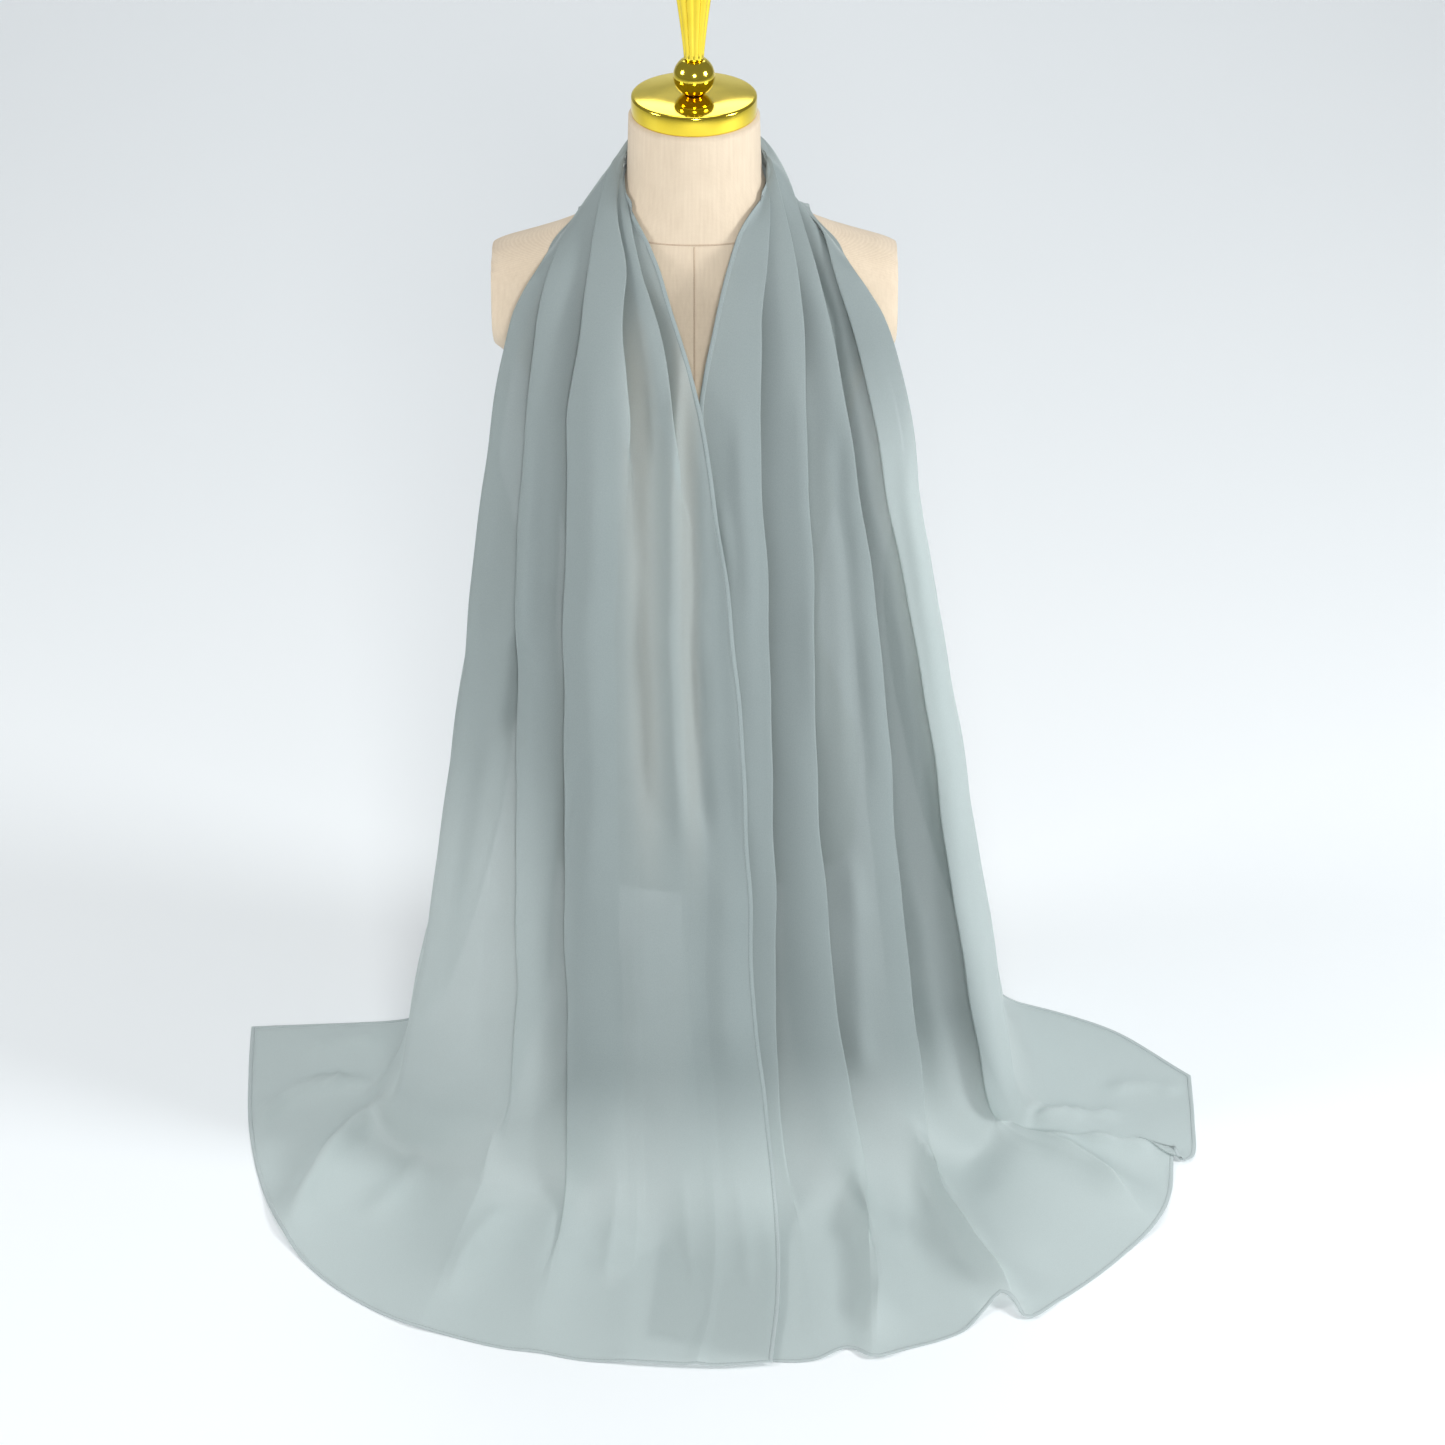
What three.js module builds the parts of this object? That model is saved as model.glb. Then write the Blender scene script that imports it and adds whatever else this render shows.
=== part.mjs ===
// A rectangular chiffon headscarf hung round the neck of a limbless dress form.
// Both ends fall down the front, the left one over the right one, and spread on the floor in a round train.
// Millimetres, +Z up. The front looks along -Y. The origin is on the floor, under the axis of the form.
import * as THREE from "three";

const WALL = 1.2; // the cloth's thickness as a rigid wall
const SEAM_GAP = 0.3; // air between two pieces that meet
const RIGHT_BASE = 17; // how far the right end lies behind the left one where they cross
const SECTION_POWER = 2.5; // how square the plan of the hanging cloth is
const OUTER_MITRE = 1.4; // the most that the wall is drawn out on the outside of a corner
const INNER_MITRE = 3; // and on the inside of one
const SIDE_SPREAD = 1.12; // the plan's width against the outer fold's place
const FOLD_FLARE = 0.08; // half of an opened fold, as a share of the band beside it
const FLOOR_CLEAR = WALL / 2; // middle of a wall that lies flat on the floor
const FORM_CLEAR = 2.2; // the middle of the cloth stays this far off the form
const BACK_CLEAR = 2.6; // and this much farther behind the shoulders
const UNDER_LAYER = 4.6; // the room that the outer fold keeps for what is turned in under it
const OVERLAP_LIFT = 3.2; // the left train rises this much where the right one lies under it

const CAP_TOP = 850;
const CAP_RADIUS = 46;
const CAP_THICK = 15.5;
const BALL_RADIUS = 15.2;
const COLUMN_LOW_RADIUS = 7.4;
const COLUMN_TOP_RADIUS = 14.4;
const COLUMN_TOP = 942;
const SHOULDER_X = 150.5; // the flat ends of the form, where arms would start
const NECK_SEAM_Z = 755;
const TORSO_BOTTOM = 209;
const POLE_RADIUS = 12.5;
const BASE_RADIUS = 100;
const BASE_THICK = 12;

const finish = (color, roughness, metalness) =>
  new THREE.MeshStandardMaterial({ color, roughness, metalness, side: THREE.DoubleSide });
const chiffon = () => finish(0xaab5b6, 0.75, 0);
const linen = () => finish(0xe8dccd, 0.9, 0);
const gold = () => finish(0xd9ab2e, 0.12, 1);
const enamel = () => finish(0xf0efec, 0.4, 0);

const clamp = (v, low, high) => Math.min(high, Math.max(low, v));
const mix = (a, b, t) => a + (b - a) * t;
const mixPoint = (a, b, t) => a.map((v, i) => mix(v, b[i], t));

// The form's plan at each height: half its width, and how far it reaches forwards and back.
const FORM_SECTIONS = [
  { z: TORSO_BOTTOM, half: 120, front: 80, back: 70 },
  { z: 214, half: 127, front: 87, back: 77 },
  { z: 290, half: 130, front: 92, back: 84 },
  { z: 350, half: 112, front: 82, back: 76 },
  { z: 410, half: 97, front: 74, back: 66 },
  { z: 470, half: 98, front: 77, back: 66 },
  { z: 530, half: 108, front: 86, back: 70 },
  { z: 590, half: 118, front: 90, back: 75 },
  { z: 640, half: 132, front: 78, back: 76 },
  { z: 662, half: 158, front: 70, back: 73 },
  { z: 690, half: 184, front: 60, back: 68 },
  { z: 715, half: 182, front: 53, back: 62 },
  { z: 732, half: 158, front: 50, back: 57 },
  { z: 743, half: 118, front: 49, back: 54 },
  { z: NECK_SEAM_Z - SEAM_GAP, half: 84, front: 48.5, back: 52 },
];
const NECK_SECTIONS = [
  { z: NECK_SEAM_Z, half: 84, front: 48.5, back: 52 },
  { z: 765, half: 65, front: 48, back: 50.5 },
  { z: 778, half: 54, front: 47.5, back: 49 },
  { z: 795, half: 49.5, front: 47, back: 48 },
  { z: CAP_TOP - CAP_THICK - SEAM_GAP, half: 48, front: 46.5, back: 46.5 },
];

// The form's plan at any height, between the rows of its two tables.
const ALL_SECTIONS = [...FORM_SECTIONS, ...NECK_SECTIONS];
function planAt(z) {
  const next = ALL_SECTIONS.findIndex((s) => s.z > z);
  if (next <= 0) return next ? ALL_SECTIONS[ALL_SECTIONS.length - 1] : ALL_SECTIONS[0];
  const [a, b] = [ALL_SECTIONS[next - 1], ALL_SECTIONS[next]];
  const t = (z - a.z) / (b.z - a.z);
  return { half: mix(a.half, b.half, t), front: mix(a.front, b.front, t), back: mix(a.back, b.back, t) };
}
const outsideForm = ({ x, y, z }) => {
  const { half, front, back } = planAt(z);
  return Math.hypot(x / half, y / (y < 0 ? front : back)) - 1;
};

// Moves a point of the cloth straight off the form until it is clear of it.
function clearOfForm(point, clear) {
  const reach = 0.5;
  for (let k = 0; k < 8; k++) {
    if (point.z < TORSO_BOTTOM || point.z > CAP_TOP) return point;
    const value = outsideForm(point);
    const slope = new THREE.Vector3(...["x", "y", "z"].map((axis) => {
      const ahead = point.clone();
      const behind = point.clone();
      ahead[axis] += reach;
      behind[axis] -= reach;
      return (outsideForm(ahead) - outsideForm(behind)) / (2 * reach);
    }));
    const gap = value / slope.length();
    if (gap >= clear) return point;
    point.addScaledVector(slope.normalize(), clear - gap);
  }
  return point;
}

// Heights at which the hanging cloth is cut across. widest is the Y of its widest line, front that of its middle.
const HEIGHTS = [
  { z: 60, widest: -75, front: -209 },
  { z: 200, widest: -72, front: -187 },
  { z: 400, widest: -66, front: -158 },
  { z: 550, widest: -60, front: -133 },
  { z: 640, widest: -54, front: -115 },
  { z: 700, widest: -48, front: -90 },
  { z: 735, widest: -44, front: -66 },
];

// One row for each line that runs the whole length of the scarf, from its inner edge to its outer one.
// hem, apron and foot are places on the floor: the hem, halfway, and where the cloth lands, as [x, y, height].
// x holds the line's place at each of HEIGHTS. collar, ridge and nape are where it passes in front of the
// shoulder, over it and behind it. faces is 1 where the fold's edge looks outwards and -1 where it looks inwards.
// back is its way back inside, step the depth of each of its two turns, and shut its first and last folded cut.
const LEFT = [
  { line: "inner edge", hem: [58, -407, 4], apron: [66, -305, 6], foot: [65, -228, 9],
    x: [59, 45, 37, 20, 7, -12, -24], collar: [-39, -42, 764], ridge: [-51, 0, 784], nape: [-38, 37, 784] },
  { line: "collar fold", faces: -1, back: 9, step: 3, shut: [7, 9],
    hem: [3, -412, 4], apron: [15, -312, 5], foot: [16, -228, 8],
    x: [10, 2, 0, -6, -14, -25, -38], collar: [-48, -37, 771], ridge: [-51.5, 0, 790], nape: [-38.5, 38, 790] },
  { line: "throat fold", faces: -1, back: 11, step: 3, shut: [7, 9],
    hem: [-58, -405, 1.5], apron: [-48, -305, 3], foot: [-45, -222, 5],
    x: [-48, -50, -52, -50, -46, -52, -49], collar: [-57, -32, 776], ridge: [-53, 0, 797], nape: [-39, 39, 796] },
  { line: "breast fold", faces: 1, back: 24, step: 3.5, shut: [3, 9],
    hem: [-122, -392, 1], apron: [-112, -300, 5], foot: [-104, -206, 12],
    x: [-101, -100, -99, -95, -93, -83, -78], collar: [-70, -27, 778], ridge: [-59, 0, 800], nape: [-43, 45, 802] },
  { line: "arm fold", faces: 1, back: 18, step: 3.5, shut: [4, 9],
    hem: [-205, -366, 1], apron: [-187, -276, 7], foot: [-168, -184, 14],
    x: [-148, -139, -135, -131, -123, -116, -107], collar: [-93, -26, 761], ridge: [-80, 0, 775],
    nape: [-76, 72, 736] },
  { line: "outer fold", hem: [-323, -249, 2], apron: [-300, -168, 9], foot: [-264, -112, 18],
    x: [-239, -212, -181, -161, -148, -135, -115], collar: [-109, -23, 744], ridge: [-98, 2, 752],
    nape: [-90, 86, 660] },
  { line: "outer edge", hem: [-376, 32, 1], apron: [-310, 36, 1], foot: [-232, 42, 3],
    side: [[-196, 52], [-160, 76], [-138, 84], [-150, 4], [-137, -48], [-121, -51], [-101, -40]],
    collar: [-90, -24, 750], ridge: [-80, 3, 757], nape: [-74, 70, 706] },
];
const RIGHT = [
  { line: "inner edge", hem: [-36, -375, 1], apron: [-30, -296, 1], foot: [-22, -206, 2],
    x: [-16, 3, 5, 4, 4, 14, 23], collar: [36, -40, 768], ridge: [51, 0, 786], nape: [38, 37, 784] },
  { line: "lapel fold", faces: 1, back: 14, step: 3, shut: [4, 9],
    hem: [86, -398, 1], apron: [86, -305, 1.5], foot: [80, -210, 3],
    x: [65, 62, 58, 52, 49, 49, 53], collar: [56, -32, 772], ridge: [52, 0, 794], nape: [38.5, 38, 790] },
  { line: "centre fold", faces: 1, back: 20, step: 3.5, shut: [3, 9],
    hem: [128, -394, 4], apron: [134, -300, 12], foot: [141, -208, 14],
    x: [125, 105, 91, 87, 82, 80, 76], collar: [67, -26, 774], ridge: [57, 0, 801], nape: [39, 40, 797] },
  { line: "deep fold", faces: 1, back: 16, step: 6, shut: [3, 9],
    hem: [252, -354, 6], apron: [216, -275, 14], foot: [187, -180, 18],
    x: [183, 164, 145, 127, 111, 99, 90], collar: [80, -22, 768], ridge: [74, 0, 782], nape: [45, 46, 802] },
  { line: "wing fold", faces: -1, back: 14, step: 5, shut: [4, 9],
    hem: [362, -236, 3], apron: [306, -176, 10], foot: [250, -134, 20],
    x: [230, 206, 175, 147, 129, 113, 101], collar: [96, -26, 761], ridge: [89, 0, 764], nape: [76, 72, 736] },
  { line: "outer fold", hem: [390, -152, 3], apron: [333, -128, 9], foot: [276, -108, 20],
    x: [254, 232, 197, 171, 157, 139, 116], collar: [111, -23, 745], ridge: [101, 2, 752],
    nape: [90, 86, 660] },
  { line: "outer edge", hem: [408, -38, 1], apron: [340, 34, 1], foot: [262, 70, 3],
    side: [[226, 76], [182, 84], [150, 86], [160, 6], [145, -44], [124, -49], [102, -40]],
    collar: [93, -24, 750], ridge: [83, 3, 757], nape: [74, 70, 706] },
];
// The same lines where both ends meet, behind the neck.
const NAPE_MIDDLE = [
  [0, 53, 786],
  [0, 53.5, 792],
  [0, 54, 798],
  [0, 58, 804],
  [0, 84, 722],
  [0, 97, 602],
  [0, 80, 668],
];
// Stretches that each band between two lines is cut into, from the inner edge out.
const BAND_STEPS = [2, 2, 3, 3, 3, 6];
// Rows of points from each cut to the next: hem, apron, foot, the seven HEIGHTS, collar, ridge, nape, middle.
const ROW_STEPS = [2, 2, 3, 3, 3, 2, 2, 2, 2, 2, 3, 8, 4];
const FOOT_CUT = 2;
const RIDGE_CUT = 11;
const EVEN_TIMES = 3;
const SETTLE_ROUNDS = 5;
const EVEN_PLACE = 4.3;
const rowOf = (cut) => ROW_STEPS.slice(0, cut).reduce((sum, v) => sum + v, 0);

// How shut a fold is at a cut: 1 folded, 0 open, with one half-open cut at each end.
function shutness(fold, cut) {
  if (!fold.shut) return 0;
  const [low, high] = fold.shut;
  if (cut < low || cut > high) return 0;
  return cut === low || cut === high ? 0.5 : 1;
}

// Places of a fold's four points along the section (out) and into the depth, from the band before to the one after.
function foldPoints(fold, cut, room, squeeze) {
  const shut = shutness(fold, cut);
  const laid = clamp(shut * 2 - 1, 0, 1);
  const back = Math.min(fold.back, 0.42 * room) * laid;
  const step = fold.step * squeeze * Math.min(1, shut * 2);
  const open = (1 - Math.min(1, shut * 2)) * fold.step * 2;
  const outward = [0, 0, -back, -back];
  const inward = [back, back, 0, 0];
  const turns = [0, mix(2 / 3, 1, laid), mix(4 / 3, 1, laid), 2];
  return [0, 1, 2, 3].map((i) => ({
    out: (fold.faces > 0 ? outward[i] : inward[i]) + open * (i - 1.5),
    depth: fold.faces * step * turns[i],
  }));
}

// A section through the hanging cloth at one height.
function hangingSection(lines, cut) {
  const level = HEIGHTS[cut - FOOT_CUT - 1];
  const at = (line) => line.x[cut - FOOT_CUT - 1];
  const way = lines === LEFT ? -1 : 1;
  const folds = lines.slice(1, 5);
  const rise = clamp((760 - level.z) / 100, 0.25, 1);
  const squeeze = clamp((775 - level.z) / 80, 0.5, 1);
  const steps = folds.map((fold) => 2 * fold.faces * fold.step * squeeze * Math.min(1, 2 * shutness(fold, cut)));
  const first = lines === LEFT ? -Math.min(0, steps[0] + steps[1]) : RIGHT_BASE * rise;
  const last = steps.reduce((sum, v) => sum + v, first);
  const outerX = Math.abs(at(lines[5]));
  const place = (across, depth) => {
    const half = (outerX + last) * SIDE_SPREAD - depth;
    const reach = level.widest - level.front - depth;
    const share = clamp(Math.abs(across) / half, 0, 1);
    const bow = (1 - share ** SECTION_POWER) ** (1 / SECTION_POWER);
    return [way * across, level.widest - reach * bow, level.z];
  };
  const points = [];
  let from = way * at(lines[0]);
  let depth = first;
  lines.slice(1, 6).forEach((line, band) => {
    const width = way * at(line) - from;
    const shape = band < 4 ? foldPoints(line, cut, width, squeeze) : [{ out: 0, depth: 0 }];
    const to = way * at(line) + shape[0].out;
    for (let i = 0; i < BAND_STEPS[band]; i++) {
      points.push(place(mix(from, to, i / BAND_STEPS[band]), depth));
    }
    shape.slice(0, -1).forEach((p) => points.push(place(way * at(line) + p.out, depth + p.depth)));
    const end = shape[shape.length - 1];
    if (band === 4) points.push(place(to, depth));
    from = way * at(line) + end.out;
    depth += end.depth;
  });
  const [edgeX, edgeY] = lines[6].side[cut - FOOT_CUT - 1];
  const start = points[points.length - 1];
  for (let i = 1; i <= BAND_STEPS[5]; i++) {
    const t = i / BAND_STEPS[5];
    const bend = mixPoint(mixPoint(start, [start[0], edgeY, level.z], t),
      mixPoint([start[0], edgeY, level.z], [edgeX, edgeY, level.z], t), t);
    points.push(bend);
  }
  return points;
}

// The place of each column of points, counted in lines: 0 at the inner edge, 6 at the outer one.
const COLUMN_PLACES = BAND_STEPS.flatMap((count, band) => {
  const from = band === 0 ? 0 : band + (band < 5 ? FOLD_FLARE : 1 / count);
  const to = band + 1 - (band < 4 ? FOLD_FLARE : 0);
  const places = [];
  const inner = band === 5 ? count - 1 : count;
  for (let i = 0; i < inner; i++) places.push(mix(from, to, i / inner));
  if (band < 4) [-1, -1 / 3, 1 / 3].forEach((side) => places.push(band + 1 + side * FOLD_FLARE));
  if (band >= 4) places.push(band + 1);
  return places;
});
const clearanceAt = (place) =>
  FORM_CLEAR + UNDER_LAYER * clamp((place - 3) / 0.7, 0, 1) * clamp((5.2 - place) / 0.2, 0, 1);

// A section through the cloth where all its folds are open: a smooth curve through its seven lines.
function openSection(knots, valley) {
  const curve = new THREE.CatmullRomCurve3(knots.map((k) => new THREE.Vector3(...k)), false, "centripetal");
  return COLUMN_PLACES.map((place) => {
    const p = curve.getPoint(place / 6);
    if (!valley) return [p.x, p.y, p.z];
    const dip = 1 - valley * Math.sin(Math.PI * (place % 1)) ** 2;
    return [p.x, p.y, Math.max(FLOOR_CLEAR, p.z * dip)];
  });
}

function floorSection(lines, name) {
  const lifted = lines.map((line) => line[name].map((v, i) => (i === 2 ? v + FLOOR_CLEAR : v)));
  return openSection(lifted, 0.6).map(([x, y, z]) => {
    const over = lines === LEFT ? OVERLAP_LIFT * clamp((x + 80) / 35, 0, 1) : 0;
    return [x, y, Math.max(z, FLOOR_CLEAR + over)];
  });
}

function sectionsOf(lines) {
  const hanging = HEIGHTS.map((_, i) => hangingSection(lines, i + FOOT_CUT + 1));
  return [
    floorSection(lines, "hem"),
    floorSection(lines, "apron"),
    floorSection(lines, "foot"),
    ...hanging,
    openSection(lines.map((line) => line.collar), 0),
    openSection(lines.map((line) => line.ridge), 0),
    openSection(lines.map((line) => line.nape), 0),
    openSection(NAPE_MIDDLE, 0),
  ];
}

// Slopes that carry a smooth curve through values without passing above or below them.
function steadySlopes(at, values) {
  const rate = values.slice(1).map((v, i) => (v - values[i]) / (at[i + 1] - at[i]));
  return values.map((_, i) => {
    if (i === 0) return rate[0];
    if (i === rate.length) return rate[i - 1];
    if (rate[i - 1] * rate[i] <= 0) return 0;
    return (2 * rate[i - 1] * rate[i]) / (rate[i - 1] + rate[i]);
  });
}

// A row of points evened out across the cloth, so that it has no small zigzags.
function evened(row) {
  let now = row;
  for (let k = 0; k < EVEN_TIMES; k++) {
    const last = now;
    const kept = (j) => j === 0 || j === row.length - 1 || (k > 0 && COLUMN_PLACES[j] > EVEN_PLACE);
    now = last.map((p, j) => (kept(j) ? p : p.clone().lerp(last[j - 1].clone().lerp(last[j + 1], 0.5), 0.5)));
  }
  return now;
}

// A row of points that lies on the form or off it, never in it. Where folds are open it is evened out too.
function settled(row, rounds) {
  const offForm = (points) => points.map((p, column) =>
    clearOfForm(p.clone(), clearanceAt(COLUMN_PLACES[column]) + BACK_CLEAR * clamp(p.y / 20, 0, 1)));
  let now = offForm(row.map(([x, y, z]) => new THREE.Vector3(x, y, Math.max(z, FLOOR_CLEAR))));
  for (let k = 0; k < rounds; k++) now = offForm(evened(now));
  return now;
}

// The sections joined lengthwise by steady curves, one for each column of points.
function joinSections(sections) {
  const middle = Math.floor(sections[0].length / 2);
  const at = [0];
  sections.slice(1).forEach((s, i) => {
    const a = new THREE.Vector3(...s[middle]);
    at.push(at[i] + a.distanceTo(new THREE.Vector3(...sections[i][middle])));
  });
  const slopes = sections[0].map((_, column) =>
    [0, 1, 2].map((axis) => steadySlopes(at, sections.map((s) => s[column][axis]))));
  const half = [...ROW_STEPS];
  const steps = half.concat([...half].reverse());
  const rows = [];
  steps.forEach((count, i) => {
    const span = at[i + 1] - at[i];
    for (let k = 0; k < count; k++) {
      const t = k / count;
      rows.push(sections[i].map((p, column) => p.map((v, axis) => {
        const m = slopes[column][axis];
        const w = sections[i + 1][column][axis];
        return v * (1 + 2 * t) * (1 - t) ** 2 + w * t * t * (3 - 2 * t) +
          span * (m[i] * t * (1 - t) ** 2 - m[i + 1] * t * t * (1 - t));
      })));
    }
  });
  rows.push(sections[sections.length - 1]);
  const collar = rowOf(RIDGE_CUT - 1);
  return rows.map((row, i) => {
    const above = Math.min(i, rows.length - 1 - i) - collar;
    return settled(row, clamp(above + 2, 0, SETTLE_ROUNDS));
  });
}

// How far the wall's front and back lie from each point: half its thickness, and more where a fold turns a corner.
function wallOffsets(rows) {
  const heading = (from, to) => to.clone().sub(from).normalize();
  return rows.map((row, i) => row.map((p, j) => {
    const along = rows[Math.min(i + 1, rows.length - 1)][j].clone().sub(rows[Math.max(i - 1, 0)][j]);
    const before = heading(row[Math.max(j - 1, 0)], j ? p : row[1]);
    const after = heading(j < row.length - 1 ? p : row[j - 1], row[Math.min(j + 1, row.length - 1)]);
    const across = before.clone().add(after);
    const corner = 2 / Math.max(across.length(), 0.01);
    const square = across.cross(along).normalize();
    const turnsToFront = after.sub(before).dot(square) > 0;
    const inner = (Math.min(INNER_MITRE, corner) * WALL) / 2;
    const outer = (Math.min(OUTER_MITRE, corner) * WALL) / 2;
    return {
      front: square.clone().multiplyScalar(turnsToFront ? inner : outer),
      back: square.clone().multiplyScalar(turnsToFront ? -outer : -inner),
    };
  }));
}

// A closed mesh from a grid of front points and one of back points.
function wallGeometry(front, back) {
  const rows = front.length;
  const columns = front[0].length;
  const position = [...front.flat(), ...back.flat()].flatMap((p) => [p.x, p.y, Math.max(0, p.z)]);
  const f = (i, j) => i * columns + j;
  const b = (i, j) => rows * columns + f(i, j);
  const index = [];
  const quad = (p, q, r, s) => index.push(p, q, r, p, r, s);
  for (let i = 0; i < rows - 1; i++) {
    for (let j = 0; j < columns - 1; j++) {
      quad(f(i, j), f(i, j + 1), f(i + 1, j + 1), f(i + 1, j));
      quad(b(i, j), b(i + 1, j), b(i + 1, j + 1), b(i, j + 1));
    }
    quad(f(i, 0), f(i + 1, 0), b(i + 1, 0), b(i, 0));
    quad(f(i, columns - 1), b(i, columns - 1), b(i + 1, columns - 1), f(i + 1, columns - 1));
  }
  for (let j = 0; j < columns - 1; j++) {
    quad(f(0, j), b(0, j), b(0, j + 1), f(0, j + 1));
    quad(f(rows - 1, j), f(rows - 1, j + 1), b(rows - 1, j + 1), b(rows - 1, j));
  }
  const geometry = new THREE.BufferGeometry();
  geometry.setAttribute("position", new THREE.Float32BufferAttribute(position, 3));
  geometry.setIndex(index);
  geometry.computeVertexNormals();
  return geometry;
}

// One stretch of the cloth, drawn back by half a seam gap from each neighbour.
function stretch(rows, walls, from, to, gapAtStart, gapAtEnd) {
  const part = rows.slice(from, to + 1).map((row) => row.map((p) => p.clone()));
  const drawBack = (i, inner) => part[i].forEach((p, j) => {
    p.add(part[inner][j].clone().sub(p).setLength(SEAM_GAP / 2));
  });
  if (gapAtStart) drawBack(0, 1);
  if (gapAtEnd) drawBack(part.length - 1, part.length - 2);
  const side = (name) => part.map((row, i) => row.map((p, j) => p.clone().add(walls[from + i][j][name])));
  return wallGeometry(side("front"), side("back"));
}

const FORM_SIDES = 40;

// A solid lofted through plans, with its ends closed flat and its sides cut off flat at the shoulders.
function loftGeometry(sections, sides) {
  const position = [];
  sections.forEach(({ z, half, front, back }) => {
    for (let i = 0; i < sides; i++) {
      const a = (2 * Math.PI * i) / sides;
      const x = clamp(half * Math.cos(a), -SHOULDER_X, SHOULDER_X);
      position.push(x, Math.sin(a) * (Math.sin(a) < 0 ? front : back), z);
    }
  });
  const index = [];
  for (let i = 0; i < sections.length - 1; i++) {
    for (let j = 0; j < sides; j++) {
      const k = (j + 1) % sides;
      const [a, b, c, d] = [i * sides + j, i * sides + k, (i + 1) * sides + k, (i + 1) * sides + j];
      index.push(a, b, c, a, c, d);
    }
  }
  const last = (sections.length - 1) * sides;
  for (let j = 1; j < sides - 1; j++) {
    index.push(0, j + 1, j);
    index.push(last, last + j, last + j + 1);
  }
  const geometry = new THREE.BufferGeometry();
  geometry.setAttribute("position", new THREE.Float32BufferAttribute(position, 3));
  geometry.setIndex(index);
  geometry.computeVertexNormals();
  return geometry;
}

// A turned piece from a profile of [radius, height] points that starts and ends on the axis.
function turned(profile, sides) {
  const geometry = new THREE.LatheGeometry(profile.map(([r, z]) => new THREE.Vector2(r, z)), sides);
  return geometry.rotateX(Math.PI / 2);
}

function capProfile() {
  const low = CAP_TOP - CAP_THICK;
  return [[0, low], [CAP_RADIUS - 1.5, low], [CAP_RADIUS, low + 1.5], [CAP_RADIUS, CAP_TOP - 1.5],
    [CAP_RADIUS - 1.5, CAP_TOP], [0, CAP_TOP]];
}

const BALL_CENTRE = CAP_TOP + SEAM_GAP + 13.8;
const COLUMN_FOOT = BALL_CENTRE + 12.6;
function ballProfile() {
  const low = CAP_TOP + SEAM_GAP;
  const high = COLUMN_FOOT - SEAM_GAP;
  const round = [];
  for (let i = 0; i <= 10; i++) {
    const z = mix(low, high, i / 10);
    round.push([Math.sqrt(BALL_RADIUS ** 2 - (z - BALL_CENTRE) ** 2), z]);
  }
  return [[0, low], ...round, [0, high]];
}
function columnProfile() {
  const flare = [];
  for (let i = 0; i <= 8; i++) {
    const t = i / 8;
    flare.push([mix(COLUMN_LOW_RADIUS, COLUMN_TOP_RADIUS, t ** 1.2), mix(COLUMN_FOOT, COLUMN_TOP - 8, t)]);
  }
  return [[0, COLUMN_FOOT], ...flare, [COLUMN_TOP_RADIUS - 2.5, COLUMN_TOP - 2], [COLUMN_TOP_RADIUS - 6, COLUMN_TOP],
    [0, COLUMN_TOP]];
}
function baseProfile() {
  return [[0, 0], [BASE_RADIUS, 0], [BASE_RADIUS, BASE_THICK - 4], [BASE_RADIUS - 4, BASE_THICK], [0, BASE_THICK]];
}
function poleProfile() {
  const low = BASE_THICK + SEAM_GAP;
  const high = TORSO_BOTTOM - SEAM_GAP;
  return [[0, low], [POLE_RADIUS, low], [POLE_RADIUS, high], [0, high]];
}

function part(name, geometry, material) {
  const mesh = new THREE.Mesh(geometry, material);
  mesh.name = name;
  return mesh;
}

const sectionsLeft = sectionsOf(LEFT);
const sectionsRight = sectionsOf(RIGHT);
const allSections = [...sectionsLeft, ...sectionsRight.slice(0, -1).reverse()];
const rows = joinSections(allSections);
const walls = wallOffsets(rows);
const lastRow = rows.length - 1;
const trainEnd = rowOf(FOOT_CUT + 1);
const ridgeRow = rowOf(RIDGE_CUT);

const scarf = new THREE.Group();
scarf.add(part("scarf_left_train", stretch(rows, walls, 0, trainEnd, false, true), chiffon()));
scarf.add(part("scarf_left_drop", stretch(rows, walls, trainEnd, ridgeRow, true, true), chiffon()));
scarf.add(part("scarf_neck", stretch(rows, walls, ridgeRow, lastRow - ridgeRow, true, true), chiffon()));
scarf.add(part("scarf_right_drop",
  stretch(rows, walls, lastRow - ridgeRow, lastRow - trainEnd, true, true), chiffon()));
scarf.add(part("scarf_right_train", stretch(rows, walls, lastRow - trainEnd, lastRow, true, false), chiffon()));

const form = new THREE.Group();
form.add(part("form_torso", loftGeometry(FORM_SECTIONS, FORM_SIDES), linen()));
form.add(part("form_neck", loftGeometry(NECK_SECTIONS, FORM_SIDES), linen()));
form.add(part("neck_cap", turned(capProfile(), 48), gold()));
form.add(part("finial_ball", turned(ballProfile(), 28), gold()));
form.add(part("finial_column", turned(columnProfile(), 24), gold()));
form.add(part("stand_pole", turned(poleProfile(), 20), enamel()));
form.add(part("stand_base", turned(baseProfile(), 40), enamel()));

const root = new THREE.Group();
root.add(scarf, form);
export default root;
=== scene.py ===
"""A sheer headscarf hung round a limbless dress form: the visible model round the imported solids.

The scarf is one sheet. Tables of lines, in millimetres, say where its folds run from the hem on the floor,
up the front, over the shoulder and round the neck, and down to the other hem. Sections across the sheet are
worked out from them and joined lengthwise. Its rolled hem and its stitches follow the sheet's own edge.
"""
import math

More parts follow.
